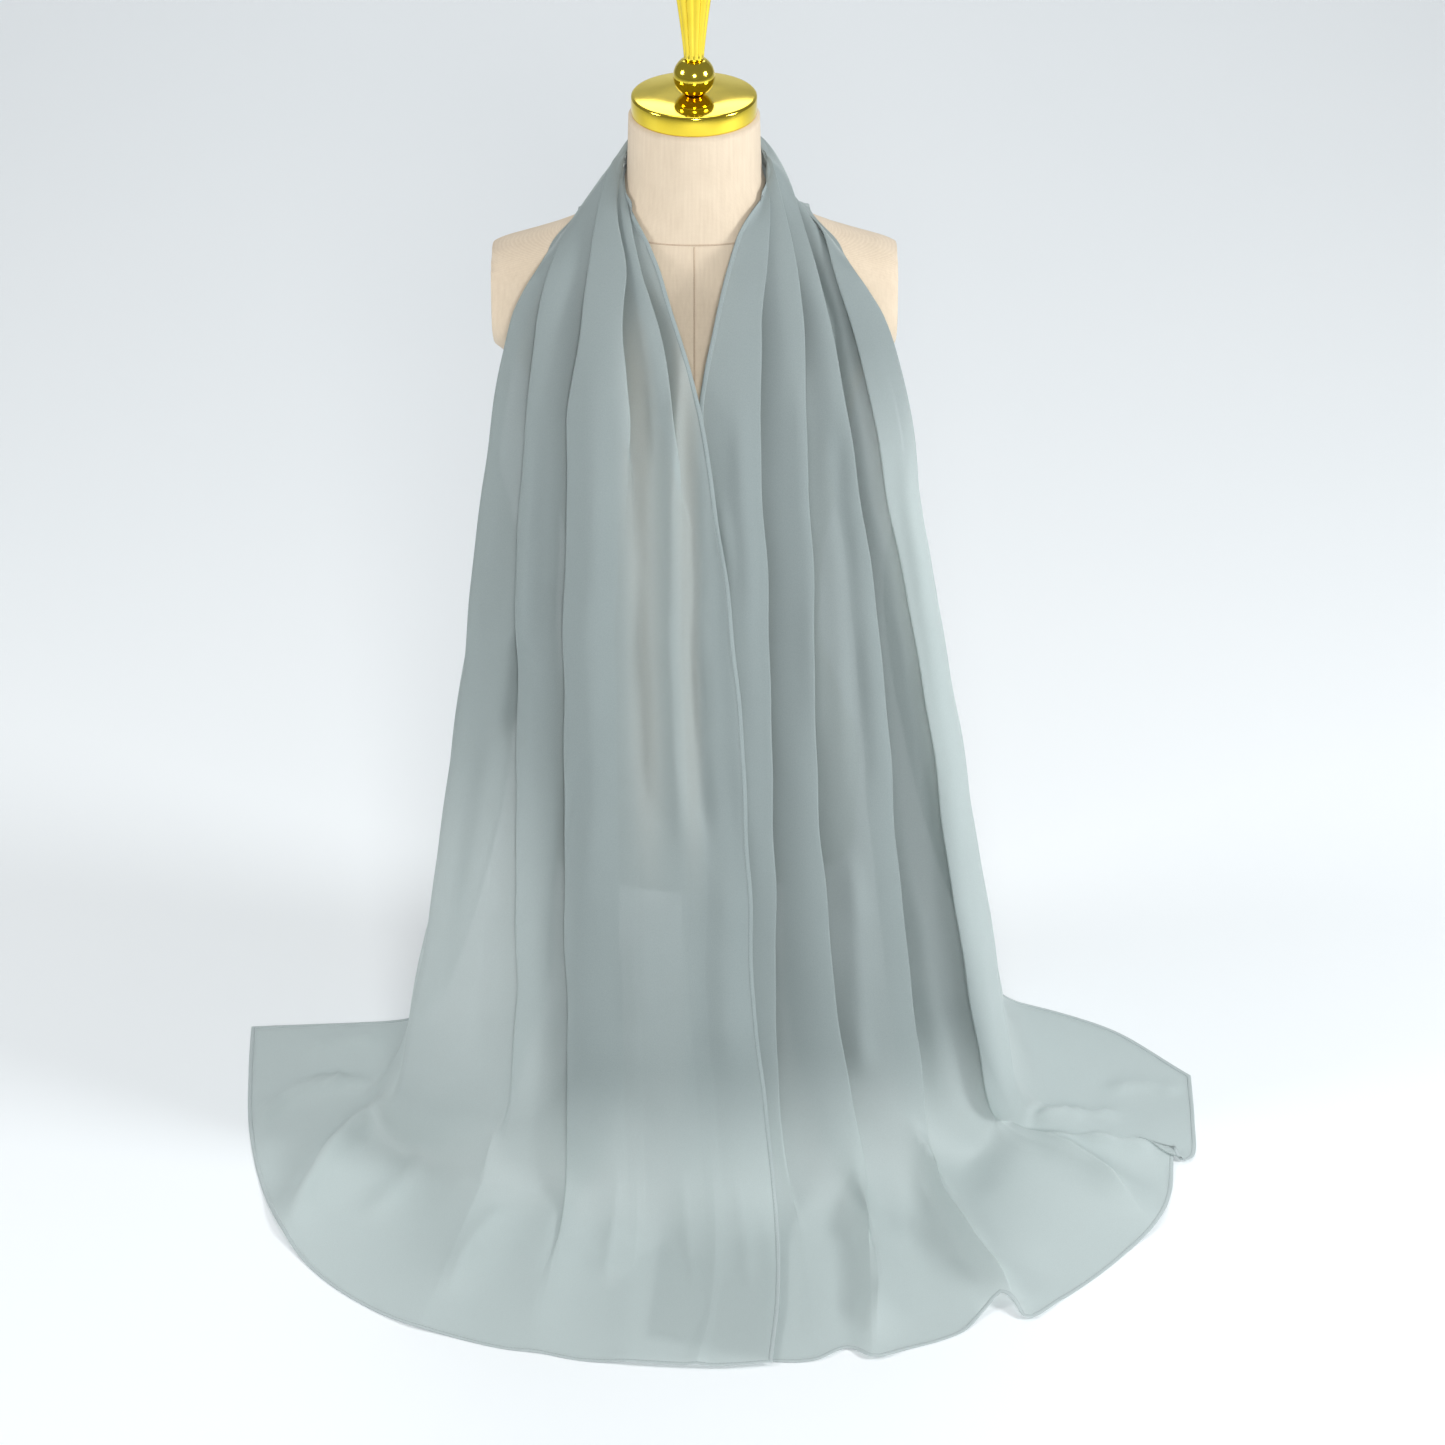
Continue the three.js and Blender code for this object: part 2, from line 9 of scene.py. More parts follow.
import bpy
import numpy as np
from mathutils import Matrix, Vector


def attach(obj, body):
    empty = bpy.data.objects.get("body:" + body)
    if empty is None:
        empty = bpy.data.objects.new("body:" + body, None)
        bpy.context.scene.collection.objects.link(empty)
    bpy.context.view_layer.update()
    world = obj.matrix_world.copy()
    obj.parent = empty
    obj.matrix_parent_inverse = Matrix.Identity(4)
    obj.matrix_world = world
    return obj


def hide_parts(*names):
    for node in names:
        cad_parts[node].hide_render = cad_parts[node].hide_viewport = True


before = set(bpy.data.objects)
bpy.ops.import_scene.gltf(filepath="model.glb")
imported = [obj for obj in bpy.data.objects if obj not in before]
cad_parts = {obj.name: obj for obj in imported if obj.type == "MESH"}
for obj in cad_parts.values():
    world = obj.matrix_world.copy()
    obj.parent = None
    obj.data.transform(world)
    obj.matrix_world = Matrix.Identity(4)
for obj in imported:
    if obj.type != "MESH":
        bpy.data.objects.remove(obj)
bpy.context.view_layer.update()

MM = 0.001

# Cloth, in millimetres.
SHOWN_WIDTH = 600
HEM_WIDTH = 3.4
HEM_THICK = 0.9
HEM_CLEAR = 0.4
HEM_PITCH = 3.5
STITCH_PITCH = 2.9
STITCH_LENGTH = 1.7
STITCH_HEIGHT = 1.25
STITCH_INSET = 0.72
THREAD_WIDTH = 0.55
FLOOR_REST = 0.5
ON_FORM = 1.6
LIP_RADIUS = 1.3
TURN_RADIUS = 2.6
LEFT_OVER_RIGHT = 3.2
OPEN_FOLD_WIDTH = 14
SIDE_SPREAD = 1.12
SECTION_POWER = 2.5
RIGHT_BASE = 17
ROW_PITCH = 5.5

# Form and fittings, in millimetres.
CAP_TOP = 850
CAP_RADIUS = 46
CAP_THICK = 15.5
BALL_CENTRE = 864.1
BALL_RADIUS = 15.2
COLUMN_FOOT = 876.7
COLUMN_TOP = 942
COLUMN_LOW_RADIUS = 7.4
COLUMN_TOP_RADIUS = 14.4
SHOULDER_X = 150.5
TORSO_BOTTOM = 209
FORM_TOP = 834.2
FORM_SIDES = 144
FORM_RING_PITCH = 5.0
NECK_SEAM_Z = 756
NECK_SEAM_DROP = 4
NECK_SEAM_SIZE = (1.3, 0.35)
FRONT_SEAM_ENDS = (214, 751)
FRONT_SEAM_SIZE = (1.2, 0.3)
POLE_RADIUS = 12.5
BASE_RADIUS = 100
BASE_THICK = 12

# The form's plan at each height: z, half its width, how far it reaches forwards and back.
FORM_SECTIONS = np.array([
    (209, 120, 80, 70), (214, 127, 87, 77), (290, 130, 92, 84), (350, 112, 82, 76), (410, 97, 74, 66),
    (470, 98, 77, 66), (530, 108, 86, 70), (590, 118, 90, 75), (640, 132, 78, 76), (662, 158, 70, 73),
    (690, 184, 60, 68), (712, 182, 53, 62), (727, 158, 50, 57), (738.5, 118, 49, 54), (752, 84, 48.5, 52),
    (765, 65, 48, 50.5), (778, 54, 47.5, 49), (795, 49.5, 47, 48), (FORM_TOP, 48, 46.5, 46.5),
], float)

# Places along the scarf, counted in cuts: 0 hem, 1 apron, 2 foot, 3 to 9 the heights below, 10 collar,
# 11 over the shoulder, 12 behind it, 13 the middle of the neck.
HEIGHTS = [60, 200, 400, 550, 640, 700, 735]
WIDEST_Y = [-75, -72, -66, -60, -54, -48, -44]
FRONT_Y = [-209, -187, -158, -133, -115, -90, -66]
LEVELS = [60, 100, 150, 200, 260, 330, 400, 475, 550, 600, 640, 670, 700, 720, 735]

# One row for each line that runs the length of the scarf, from its inner edge out. apron and foot lie on the
# floor, x is the line's place at each of HEIGHTS, collar, ridge and nape are where it passes the shoulder.
LEFT_LINES = [
    dict(line="inner edge", apron=(66, -305, 4), foot=(65, -228, 6), x=(59, 45, 37, 20, 7, -12, -24),
         collar=(-39, -42, 764), ridge=(-51, 0, 784), nape=(-38, 37, 784)),
    dict(line="collar fold", apron=(15, -312, 5), foot=(16, -228, 8), x=(10, 2, 0, -6, -14, -25, -38),
         collar=(-48, -37, 771), ridge=(-51.5, 0, 790), nape=(-38.5, 38, 790)),
    dict(line="throat fold", apron=(-48, -305, 3), foot=(-45, -222, 5), x=(-48, -50, -52, -50, -46, -52, -49),
         collar=(-57, -32, 776), ridge=(-53, 0, 797), nape=(-39, 39, 796)),
    dict(line="breast fold", apron=(-112, -300, 5), foot=(-104, -206, 12),
         x=(-101, -100, -99, -95, -93, -83, -78),
         collar=(-70, -27, 778), ridge=(-59, 0, 800), nape=(-43, 45, 802)),
    dict(line="arm fold", apron=(-187, -276, 7), foot=(-168, -184, 14),
         x=(-148, -139, -135, -131, -123, -116, -107),
         collar=(-93, -26, 761), ridge=(-77, 0, 773), nape=(-64, 72, 738)),
    dict(line="outer fold", apron=(-300, -168, 9), foot=(-264, -112, 18),
         x=(-239, -212, -181, -161, -148, -135, -115),
         collar=(-107, -23, 741), ridge=(-86, 1, 753), nape=(-68, 82, 664)),
    dict(line="outer edge", apron=(-310, 36, 1), foot=(-232, 42, 3),
         side=((-196, 52), (-160, 76), (-138, 84), (-150, 4), (-137, -48), (-121, -51), (-101, -40)),
         collar=(-90, -24, 750), ridge=(-70, 3, 758), nape=(-58, 70, 704)),
]
RIGHT_LINES = [
    dict(line="inner edge", apron=(-30, -296, 1), foot=(-22, -206, 2), x=(-16, 3, 5, 4, 4, 14, 23),
         collar=(36, -40, 768), ridge=(51, 0, 784), nape=(38, 37, 784)),
    dict(line="lapel fold", apron=(86, -305, 1.5), foot=(80, -210, 3), x=(65, 62, 58, 52, 49, 49, 53),
         collar=(56, -32, 772), ridge=(52, 0, 794), nape=(38.5, 38, 790)),
    dict(line="centre fold", apron=(134, -300, 12), foot=(141, -208, 14), x=(125, 105, 91, 87, 82, 80, 76),
         collar=(67, -26, 774), ridge=(57, 0, 801), nape=(39, 40, 797)),
    dict(line="deep fold", apron=(216, -275, 14), foot=(187, -180, 18), x=(183, 164, 145, 127, 111, 99, 90),
         collar=(80, -22, 768), ridge=(74, 0, 782), nape=(45, 46, 802)),
    dict(line="wing fold", apron=(306, -176, 10), foot=(250, -134, 20), x=(230, 206, 175, 147, 129, 113, 101),
         collar=(96, -26, 761), ridge=(77, 0, 769), nape=(64, 72, 738)),
    dict(line="outer fold", apron=(333, -128, 9), foot=(276, -108, 20), x=(254, 232, 197, 171, 157, 139, 116),
         collar=(109, -23, 742), ridge=(84, 1, 753), nape=(68, 82, 664)),
    dict(line="outer edge", apron=(340, 34, 1), foot=(262, 70, 3),
         side=((226, 76), (182, 84), (150, 86), (160, 6), (145, -44), (124, -49), (102, -40)),
         collar=(93, -24, 750), ridge=(68, 3, 758), nape=(58, 70, 704)),
]
NAPE_MIDDLE = [
    (0, 53, 786), (0, 53.5, 792), (0, 54, 798), (0, 58, 804), (0, 84, 722), (0, 97, 602), (0, 80, 668),
]

# The hem on the floor: place (0 at the inner corner, 6 at the outer one), x, y, height.
LEFT_HEM = np.array([
    (0, 58, -407, 3.7), (0.7, 19, -411, 3.7), (1.6, -34, -408, 3), (2, -58, -405, 1.5),
    (2.45, -88, -401, 1), (2.9, -116, -393, 1), (3.3, -147, -387, 0.5), (3.75, -186, -373, 1),
    (4.15, -225, -356, 1), (4.5, -268, -324, 0.5), (4.75, -299, -290, 0.5), (5, -323, -249, 3),
    (5.2, -344, -195, 0.5), (5.45, -363, -114, 1), (5.8, -372, -30, 0.5), (6, -376, 32, 1),
], float)
RIGHT_HEM = np.array([
    (0, -36, -375, 1), (0.75, 61, -403, 1), (1, 92, -401, 1), (1.55, 115, -388, 5), (2, 133, -400, 3),
    (2.3, 159, -389, 1), (2.5, 186, -378, 1), (2.65, 204, -367, 2), (2.8, 221, -345, 7), (2.9, 233, -334, 9),
    (2.96, 241, -340, 7), (3.05, 252, -354, 3), (3.25, 280, -330, 1), (3.5, 308, -303, 0.5),
    (3.75, 338, -268, 1), (4, 362, -236, 3), (4.4, 377, -195, 1), (4.7, 383, -150, 7), (4.85, 385, -142, 8),
    (5, 390, -156, 3), (5.15, 399, -149, 1), (5.5, 405, -98, 0.5), (6, 408, -38, 1),
], float)

# Folds: which way the edge looks (1 outwards), the overlap, the two turns' depth, the hollow behind the edge,
# and how shut the fold is at each cut.
LEFT_FOLDS = [
    dict(faces=-1, lap=12, step=3, hollow=5, shut=(0, 0, 0, 0, 0, 0, 0, 0.8, 1, 1, 1, 0.9, 0.5, 0)),
    dict(faces=-1, lap=16, step=3, hollow=13, shut=(0, 0, 0, 0, 0, 0, 0, 0.55, 1, 1, 1, 0.8, 0.4, 0)),
    dict(faces=1, lap=48, step=3.5, hollow=9, shut=(0, 0, 0.35, 1, 1, 1, 1, 1, 1, 1, 1, 0.8, 0.3, 0)),
    dict(faces=1, lap=34, step=3.5, hollow=8, shut=(0, 0, 0, 0.2, 0.75, 1, 1, 1, 1, 1, 0.5, 0.1, 0, 0)),
]
RIGHT_FOLDS = [
    dict(faces=1, lap=40, step=3, hollow=7, shut=(0, 0, 0.1, 0.6, 1, 1, 1, 1, 1, 1, 1, 1, 0.6, 0)),
    dict(faces=1, lap=40, step=3.5, hollow=7, shut=(0, 0, 0.4, 1, 1, 1, 1, 1, 1, 1, 1, 1, 0.5, 0)),
    dict(faces=1, lap=20, step=6, hollow=16, shut=(0, 0, 0.4, 1, 1, 1, 1, 1, 1, 1, 1, 0.9, 0.3, 0)),
    dict(faces=-1, lap=16, step=5, hollow=14, shut=(0, 0, 0.1, 0.6, 1, 1, 1, 1, 1, 1, 0.8, 0.3, 0, 0)),
]

# Soft ridges (height above zero) and troughs (below): a few points, the width and the height of each.
# In front the points are x and z.
FRONT_CREASES = [
    ([(-8, 700), (-13, 640), (-17, 560), (-17, 470), (-14, 380), (-8, 290)], 6, 6.5),
    ([(-36, 700), (-35, 600), (-36, 500), (-33, 400), (-30, 320)], 8, -5.0),
    ([(-2, 620), (0, 540), (2, 450), (6, 360), (12, 290)], 6, -4.5),
    ([(18, 600), (24, 520), (32, 400), (40, 290)], 6, 2.5),
    ([(-128, 470), (-134, 420), (-138, 370)], 7, -4.5),
    ([(-122, 640), (-127, 540), (-134, 430)], 8, 3.0),
    ([(-72, 700), (-74, 600), (-77, 480), (-80, 350), (-86, 220)], 13, 3.2),
    ([(-80, 420), (-96, 300), (-104, 180), (-108, 90)], 9, -3.0),
    ([(-160, 560), (-172, 440), (-188, 320), (-206, 200)], 12, 4.0),
    ([(-150, 420), (-166, 300), (-186, 190), (-204, 90)], 10, -4.0),
    ([(33, 690), (36, 600), (38, 480), (42, 360), (48, 240)], 9, 2.6),
    ([(76, 690), (82, 590), (88, 480), (93, 350)], 8, 2.4),
    ([(104, 640), (112, 540), (122, 420), (132, 300)], 8, -3.0),
    ([(136, 560), (150, 440), (166, 320), (182, 200)], 9, -4.5),
    ([(150, 640), (168, 520), (190, 380), (212, 240)], 8, 3.4),
    ([(118, 300), (124, 220), (128, 140), (132, 80)], 9, 3.4),
    ([(20, 300), (24, 200), (26, 110)], 12, 3.0),
    ([(-40, 260), (-44, 170), (-48, 90)], 14, 3.0),
]
# On the floor the points are x and y.
FLOOR_CREASES = [
    ([(150, -160), (184, -190), (216, -283), (250, -352)], 11, 15.0),
    ([(200, -130), (254, -127), (306, -168), (358, -234)], 13, 14.0),
    ([(262, -128), (320, -140), (382, -146)], 9, 11.0),
    ([(262, -118), (310, -104), (351, -91)], 9, 8.0),
    ([(-112, -150), (-143, -160), (-172, -205)], 10, 14.0),
    ([(-365, -112), (-334, -63), (-300, -51), (-258, -51)], 9, 10.0),
    ([(-240, -110), (-269, -122), (-298, -166), (-322, -246)], 11, 13.0),
    ([(122, -180), (134, -250), (140, -310), (136, -390)], 11, 10.0),
    ([(170, -180), (196, -250), (214, -315)], 9, -5.0),
    ([(-60, -200), (-66, -260), (-70, -320)], 14, 4.0),
    ([(-12, -205), (-6, -270), (0, -340)], 12, 3.0),
    ([(-200, -140), (-232, -180), (-262, -236)], 12, 5.0),
    ([(-150, -220), (-176, -268), (-190, -330)], 12, 4.0),
    ([(30, -210), (38, -270), (42, -350)], 11, 4.0),
    ([(330, -60), (368, -50), (400, -60)], 10, 4.0),
    ([(-330, 0), (-300, 10), (-262, 16)], 10, 4.0),
]
# At both sides they are y and z.
SIDE_CREASES = [
    ([(-52, 600), (-54, 480), (-56, 320), (-60, 130)], 10, -6.0),
    ([(-24, 540), (-22, 400), (-18, 240), (-12, 90)], 12, -10.0),
    ([(-2, 500), (5, 380), (12, 230), (18, 90)], 9, 3.0),
    ([(28, 430), (33, 300), (35, 180), (34, 80)], 10, -9.0),
    ([(54, 330), (58, 220), (56, 100)], 7, 3.0),
]
# Over the back of the neck they are x and z.
BACK_CREASES = [
    ([(-74, 740), (-44, 690), (0, 668), (44, 690), (74, 740)], 7, 4.0),
    ([(-60, 760), (-34, 730), (0, 716), (34, 730), (60, 760)], 6, -2.5),
    ([(-84, 700), (-50, 648), (0, 626), (50, 648), (84, 700)], 7, 3.5),
    ([(-50, 776), (-24, 764), (0, 758), (24, 764), (50, 776)], 5, 2.5),
]

# Columns of the sheet: in each stretch between two folds, and in the three parts of a fold.
BAND_COLUMNS = [14, 17, 21, 22, 20, 28]
LIP_COLUMNS = 7
MID_COLUMNS = 5
TURN_COLUMNS = 5
FOLD_COLUMNS = LIP_COLUMNS + MID_COLUMNS + TURN_COLUMNS

# How the sheet is smoothed along its length: rounds where it meets the floor and at the shoulders.
FLOOR_ROUNDS = 90
SHOULDER_ROUNDS = 8
SMOOTHING = 0.45

# How much of the light the chiffon stops, and of that how much it scatters through. The scatter share also
# paints the chiffon paler where it is larger: painted light.
GATHERED_STOPS = 0.95
GATHERED_GLOW = 0.10
LAID_GLOW_AND_PAINTED_LIGHT = 0.22
LAID_SHEERER = 0.07
BREAST_SHEERER = 0.30


def smooth(t):
    """A soft step from 0 to 1."""
    t = np.clip(t, 0, 1)
    return t * t * (3 - 2 * t)


def steady_slopes(at, values):
    """Slopes of a smooth curve through values that doesn't pass above or below them."""
    at, values = np.asarray(at, float), np.asarray(values, float)
    span = (at[1:] - at[:-1]).reshape((-1,) + (1,) * (values.ndim - 1))
    rate = (values[1:] - values[:-1]) / span
    a, b = rate[:-1], rate[1:]
    same = a * b > 0
    inner = np.where(same, 2 * a * b / np.where(same, a + b, 1), 0)
    return np.concatenate([rate[:1], inner, rate[-1:]])


def steady(at, values, where):
    """The steady curve through values, read at the places where."""
    at, values = np.asarray(at, float), np.asarray(values, float)
    slopes = steady_slopes(at, values)
    where = np.clip(np.atleast_1d(np.asarray(where, float)), at[0], at[-1])
    i = np.clip(np.searchsorted(at, where, side="right") - 1, 0, len(at) - 2)
    span = at[i + 1] - at[i]
    t = (where - at[i]) / span
    shape = (-1,) + (1,) * (values.ndim - 1)
    t, span = t.reshape(shape), span.reshape(shape)
    return (values[i] * (1 + 2 * t) * (1 - t) ** 2 + values[i + 1] * t * t * (3 - 2 * t)
            + span * (slopes[i] * t * (1 - t) ** 2 - slopes[i + 1] * t * t * (1 - t)))


FINE_Z = np.arange(FORM_SECTIONS[0, 0], FORM_SECTIONS[-1, 0] + 0.5, 1.0)
FINE_PLAN = steady(FORM_SECTIONS[:, 0], FORM_SECTIONS[:, 1:], FINE_Z)


def form_value(points):
    """Below zero inside the form, above it outside."""
    half, front, back = (np.interp(points[..., 2], FINE_Z, FINE_PLAN[:, k]) for k in range(3))
    return np.hypot(points[..., 0] / half, points[..., 1] / np.where(points[..., 1] < 0, front, back)) - 1


def form_slope(points):
    """The direction in which form_value grows fastest."""
    slope = np.empty_like(points)
    for axis in range(3):
        ahead, behind = points.copy(), points.copy()
        ahead[..., axis] += 0.5
        behind[..., axis] -= 0.5
        slope[..., axis] = form_value(ahead) - form_value(behind)
    return slope


def clear_of_form(points, clear):
    """Moves points of the cloth off the form, until each is as far from it as clear says."""
    points = points.copy()
    beside = (points[..., 2] > TORSO_BOTTOM) & (points[..., 2] < CAP_TOP)
    for _ in range(8):
        slope = form_slope(points)
        size = np.linalg.norm(slope, axis=-1)
        short = np.where(beside, np.clip(clear - form_value(points) / size, 0, None), 0)
        points += slope / size[..., None] * short[..., None]
    return points


def fold_profile(places, folds, cut, squeeze, first):
    """How far out each column of the sheet lies and how deep, across its folds from the inner edge out."""
    shut = [float(steady(range(14), fold["shut"], cut)[0]) for fold in folds]
    base = [first]
    for fold, s in zip(folds, shut):
        base.append(base[-1] + fold["faces"] * 2 * fold["step"] * squeeze * s)
    out, depth = [], []
    start_out, start_depth, start_lap = places[0], first, 0.0
    for k in range(1, 6):
        width_before = places[k] - places[k - 1]
        if k < 5:
            fold, s = folds[k - 1], shut[k - 1]
            width_after = places[k + 1] - places[k]
            lap = min(fold["lap"], 0.85 * (width_before if fold["faces"] > 0 else width_after)) * smooth(s)
            front = min(base[k - 1], base[k])
            hollow = fold["hollow"] + 0.17 * max(width_before, width_after)
            back = max(base[k - 1], base[k]) + hollow * squeeze * s
            lip = min(LIP_RADIUS, 0.2 * (back - front))
            turn = min(TURN_RADIUS, 0.25 * (back - front))
            a = np.linspace(-math.pi / 2, math.pi / 2, LIP_COLUMNS)
            b = np.linspace(-math.pi / 2, math.pi / 2, TURN_COLUMNS)
            lip_out, lip_depth = -lip + lip * np.cos(a), front + lip + lip * np.sin(a)
            turn_out, turn_depth = -lap + turn - turn * np.cos(b), back - turn + turn * np.sin(b)
            mid = np.linspace(0, 1, MID_COLUMNS + 2)[1:-1]
            mid_out = lip_out[-1] + (turn_out[0] - lip_out[-1]) * mid
            mid_depth = lip_depth[-1] + (turn_depth[0] - lip_depth[-1]) * mid
            fold_out = np.concatenate([lip_out, mid_out, turn_out])
            fold_depth = np.concatenate([lip_depth, mid_depth, turn_depth])
            if fold["faces"] < 0:
                fold_out, fold_depth = -fold_out[::-1], fold_depth[::-1]
            spread = min(OPEN_FOLD_WIDTH, 0.5 * width_before, 0.5 * width_after)
            flat_out = np.linspace(-spread / 2, spread / 2, FOLD_COLUMNS)
            flat_depth = np.linspace(base[k - 1], base[k], FOLD_COLUMNS)
            laid = smooth(s / 0.5)
            fold_out = places[k] + flat_out * (1 - laid) + fold_out * laid
            fold_depth = flat_depth * (1 - laid) + fold_depth * laid
        else:
            fold_out, fold_depth = np.array([places[5]]), np.array([base[4]])
            lap = 0.0
        count = BAND_COLUMNS[k - 1]
        t = np.linspace(0, 1, count + 2)[1:-1]
        if k == 1:
            t = np.linspace(0, 1, count + 1)[:-1]
        end_out, end_depth = fold_out[0], fold_depth[0]
        band_out = start_out + (end_out - start_out) * t
        width = end_out - start_out
        level = base[k - 1]
        end_lap = lap if k < 5 and folds[k - 1]["faces"] < 0 else 0.0
        seen = max(width - start_lap - end_lap, 1)
        rise_start = 1 - smooth((band_out - start_out) / (start_lap + 0.9 * seen))
        rise_end = 1 - smooth((end_out - band_out) / (end_lap + 0.9 * seen))
        pillow = 0.035 * seen * squeeze * np.sin(math.pi * t)
        band_depth = level + (start_depth - level) * rise_start + (end_depth - level) * rise_end - pillow
        out += [band_out, fold_out]
        depth += [band_depth, fold_depth]
        start_out, start_depth = fold_out[-1], fold_depth[-1]
        start_lap = lap if k < 5 and folds[k - 1]["faces"] > 0 else 0.0
    return np.concatenate(out), np.concatenate(depth), base


def fold_deepening(folds, cut):
    """How far the left end's inner strip lies behind its front band."""
    total = 0.0
    for fold in folds[:2]:
        total += fold["faces"] * 2 * fold["step"] * float(steady(range(14), fold["shut"], cut)[0])
    return -min(0.0, total)


def hanging_section(lines, folds, z):
    """A level section through the hanging cloth."""
    cut = 3 + float(np.interp(z, HEIGHTS, range(7)))
    way = -1 if lines is LEFT_LINES else 1
    places = [way * float(steady(HEIGHTS, line["x"], z)[0]) for line in lines[:6]]
    squeeze = float(np.clip((775 - z) / 80, 0.5, 1))
    rise = float(np.clip((760 - z) / 100, 0.25, 1))
    first = fold_deepening(folds, cut) * squeeze if way < 0 else RIGHT_BASE * rise
    out, depth, base = fold_profile(places, folds, cut, squeeze, first)
    widest, front = float(steady(HEIGHTS, WIDEST_Y, z)[0]), float(steady(HEIGHTS, FRONT_Y, z)[0])
    half = (places[5] + base[4]) * SIDE_SPREAD - depth
    share = np.clip(np.abs(out) / half, 0, 1)
    y = widest - (widest - front - depth) * (1 - share ** SECTION_POWER) ** (1 / SECTION_POWER)
    points = np.stack([way * out, y, np.full_like(out, z)], axis=-1)
    edge = steady(HEIGHTS, lines[6]["side"], z)[0]
    start, end = points[-1], np.array([edge[0], edge[1], z])
    corner = np.array([start[0], edge[1], z])
    t = np.linspace(0, 1, BAND_COLUMNS[5] + 1)[1:, None]
    side = start * (1 - t) ** 2 + 2 * corner * t * (1 - t) + end * t * t
    return np.concatenate([points, side]), np.concatenate([depth, np.full(BAND_COLUMNS[5], depth.max() + 4)])


def through(knots, places, count=80):
    """A fine curve through knots, with the place of each of its points."""
    knots, places = np.asarray(knots, float), np.asarray(places, float)
    step = np.linalg.norm(np.diff(knots, axis=0), axis=1) ** 0.5
    at = np.concatenate([[0], np.cumsum(step)])
    slope = np.gradient(knots, at, axis=0)
    fine, where = [], []
    for i in range(len(knots) - 1):
        t = np.linspace(0, 1, count, endpoint=i == len(knots) - 2)[:, None]
        span = at[i + 1] - at[i]
        fine.append(knots[i] * (1 + 2 * t) * (1 - t) ** 2 + knots[i + 1] * t * t * (3 - 2 * t)
                    + span * (slope[i] * t * (1 - t) ** 2 - slope[i + 1] * t * t * (1 - t)))
        where.append(places[i] + (places[i + 1] - places[i]) * t[:, 0])
    return np.concatenate(fine), np.concatenate(where)


def laid_section(knots, folds, cut, first, floor, places=range(7)):
    """A section that lies on the form or on the floor: a smooth curve through knots, with its folds."""
    knots = np.array(knots, float)
    if floor:
        fine, where = through(knots, list(places))
    else:
        fine, where = through(knots[:6], range(6))
        t = np.linspace(0, 1, 41)[1:, None]
        fine = np.concatenate([fine, knots[5] * (1 - t) + knots[6] * t])
        where = np.concatenate([where, 5 + t[:, 0]])
    run = np.concatenate([[0], np.cumsum(np.linalg.norm(np.diff(fine, axis=0), axis=1))])
    lines_at = np.interp(range(7), where, run)
    squeeze = 1.0 if floor else 0.5 if cut < 12 else 0.35
    out, depth, base = fold_profile(list(lines_at[:6]), folds, cut, squeeze, first)
    side = np.linspace(lines_at[5], lines_at[6], BAND_COLUMNS[5] + 1)[1:]
    out = np.concatenate([out, side])
    points = np.stack([np.interp(out, run, fine[:, axis]) for axis in range(3)], axis=-1)
    if floor:
        depth = np.concatenate([depth, np.zeros(len(side))])
        place = np.interp(out, run, where)
        points[:, 2] *= 1 - 0.75 * np.abs(np.sin(math.pi * place)) ** 1.2
        towards = -points / np.maximum(np.linalg.norm(points[:, :2], axis=1), 1)[:, None]
        towards[:, 2] = -0.6
        points += towards * (depth - base[0])[:, None] * (1 if cut > 1.5 else 0)
        return points, depth
    depth = np.concatenate([depth, np.full(len(side), depth.max() + 3)])
    slope = form_slope(points)
    slope /= np.linalg.norm(slope, axis=-1)[:, None]
    return points - slope * (depth - depth.min())[:, None] * 0.5, depth


def sections_of(lines, folds, hem):
    """All the sections of one end, from its hem to the middle of the neck, and their depths."""
    made = [laid_section(hem[:, 1:] + (0, 0, FLOOR_REST), folds, 0, 0, True, hem[:, 0])]
    for cut, name in ((1, "apron"), (2, "foot")):
        knots = np.array([line[name] for line in lines], float) + (0, 0, FLOOR_REST)
        made.append(laid_section(knots, folds, cut, 0, True))
    made += [hanging_section(lines, folds, z) for z in LEVELS]
    for cut, name in ((10, "collar"), (11, "ridge"), (12, "nape")):
        made.append(laid_section([line[name] for line in lines], folds, cut, 0, False))
    middle, depth = laid_section(NAPE_MIDDLE, folds, 13, 0, False)
    made.append((middle, depth))
    return np.array([m[0] for m in made]), np.array([m[1] for m in made])


def lift(at, creases, sharp=0.0):
    """How far the creases raise each of the flat points at.

    They are uneven and fade out at both ends; sharp is how much of each one comes to a crest.
    """
    total = np.zeros(len(at))
    for number, (knots, width, height) in enumerate(creases):
        flat = np.pad(np.array(knots, float), ((0, 0), (0, 1)))
        path, along = through(flat, np.linspace(0, 1, len(knots)), 6)
        nearest, where = np.full(len(at), 1e9), np.zeros(len(at))
        for i in range(len(path) - 1):
            start, span = path[i, :2], path[i + 1, :2] - path[i, :2]
            t = np.clip((at - start) @ span / (span @ span + 1e-9), 0, 1)
            gap = np.linalg.norm(at - start - t[:, None] * span, axis=1)
            closer = gap < nearest
            nearest = np.where(closer, gap, nearest)
            where = np.where(closer, along[i] + (along[i + 1] - along[i]) * t, where)
        uneven = 1 + 0.22 * np.sin(9 * where + 1.7 * number) + 0.12 * np.sin(23 * where + number)
        spread = width * (0.85 + 0.3 * where)
        fade = smooth(where / 0.22) * smooth((1 - where) / 0.22)
        crest = (1 - sharp) * np.exp(-(nearest / spread) ** 2) + sharp * np.exp(-nearest / (0.5 * spread))
        total += height * uneven * fade * crest
    return total


def smoothed(rows, share, rounds):
    """The sheet evened out along its length, each point by its share."""
    for _ in range(rounds):
        rows[1:-1] += SMOOTHING * share[..., None] * (rows[:-2] + rows[2:] - 2 * rows[1:-1])
    return rows


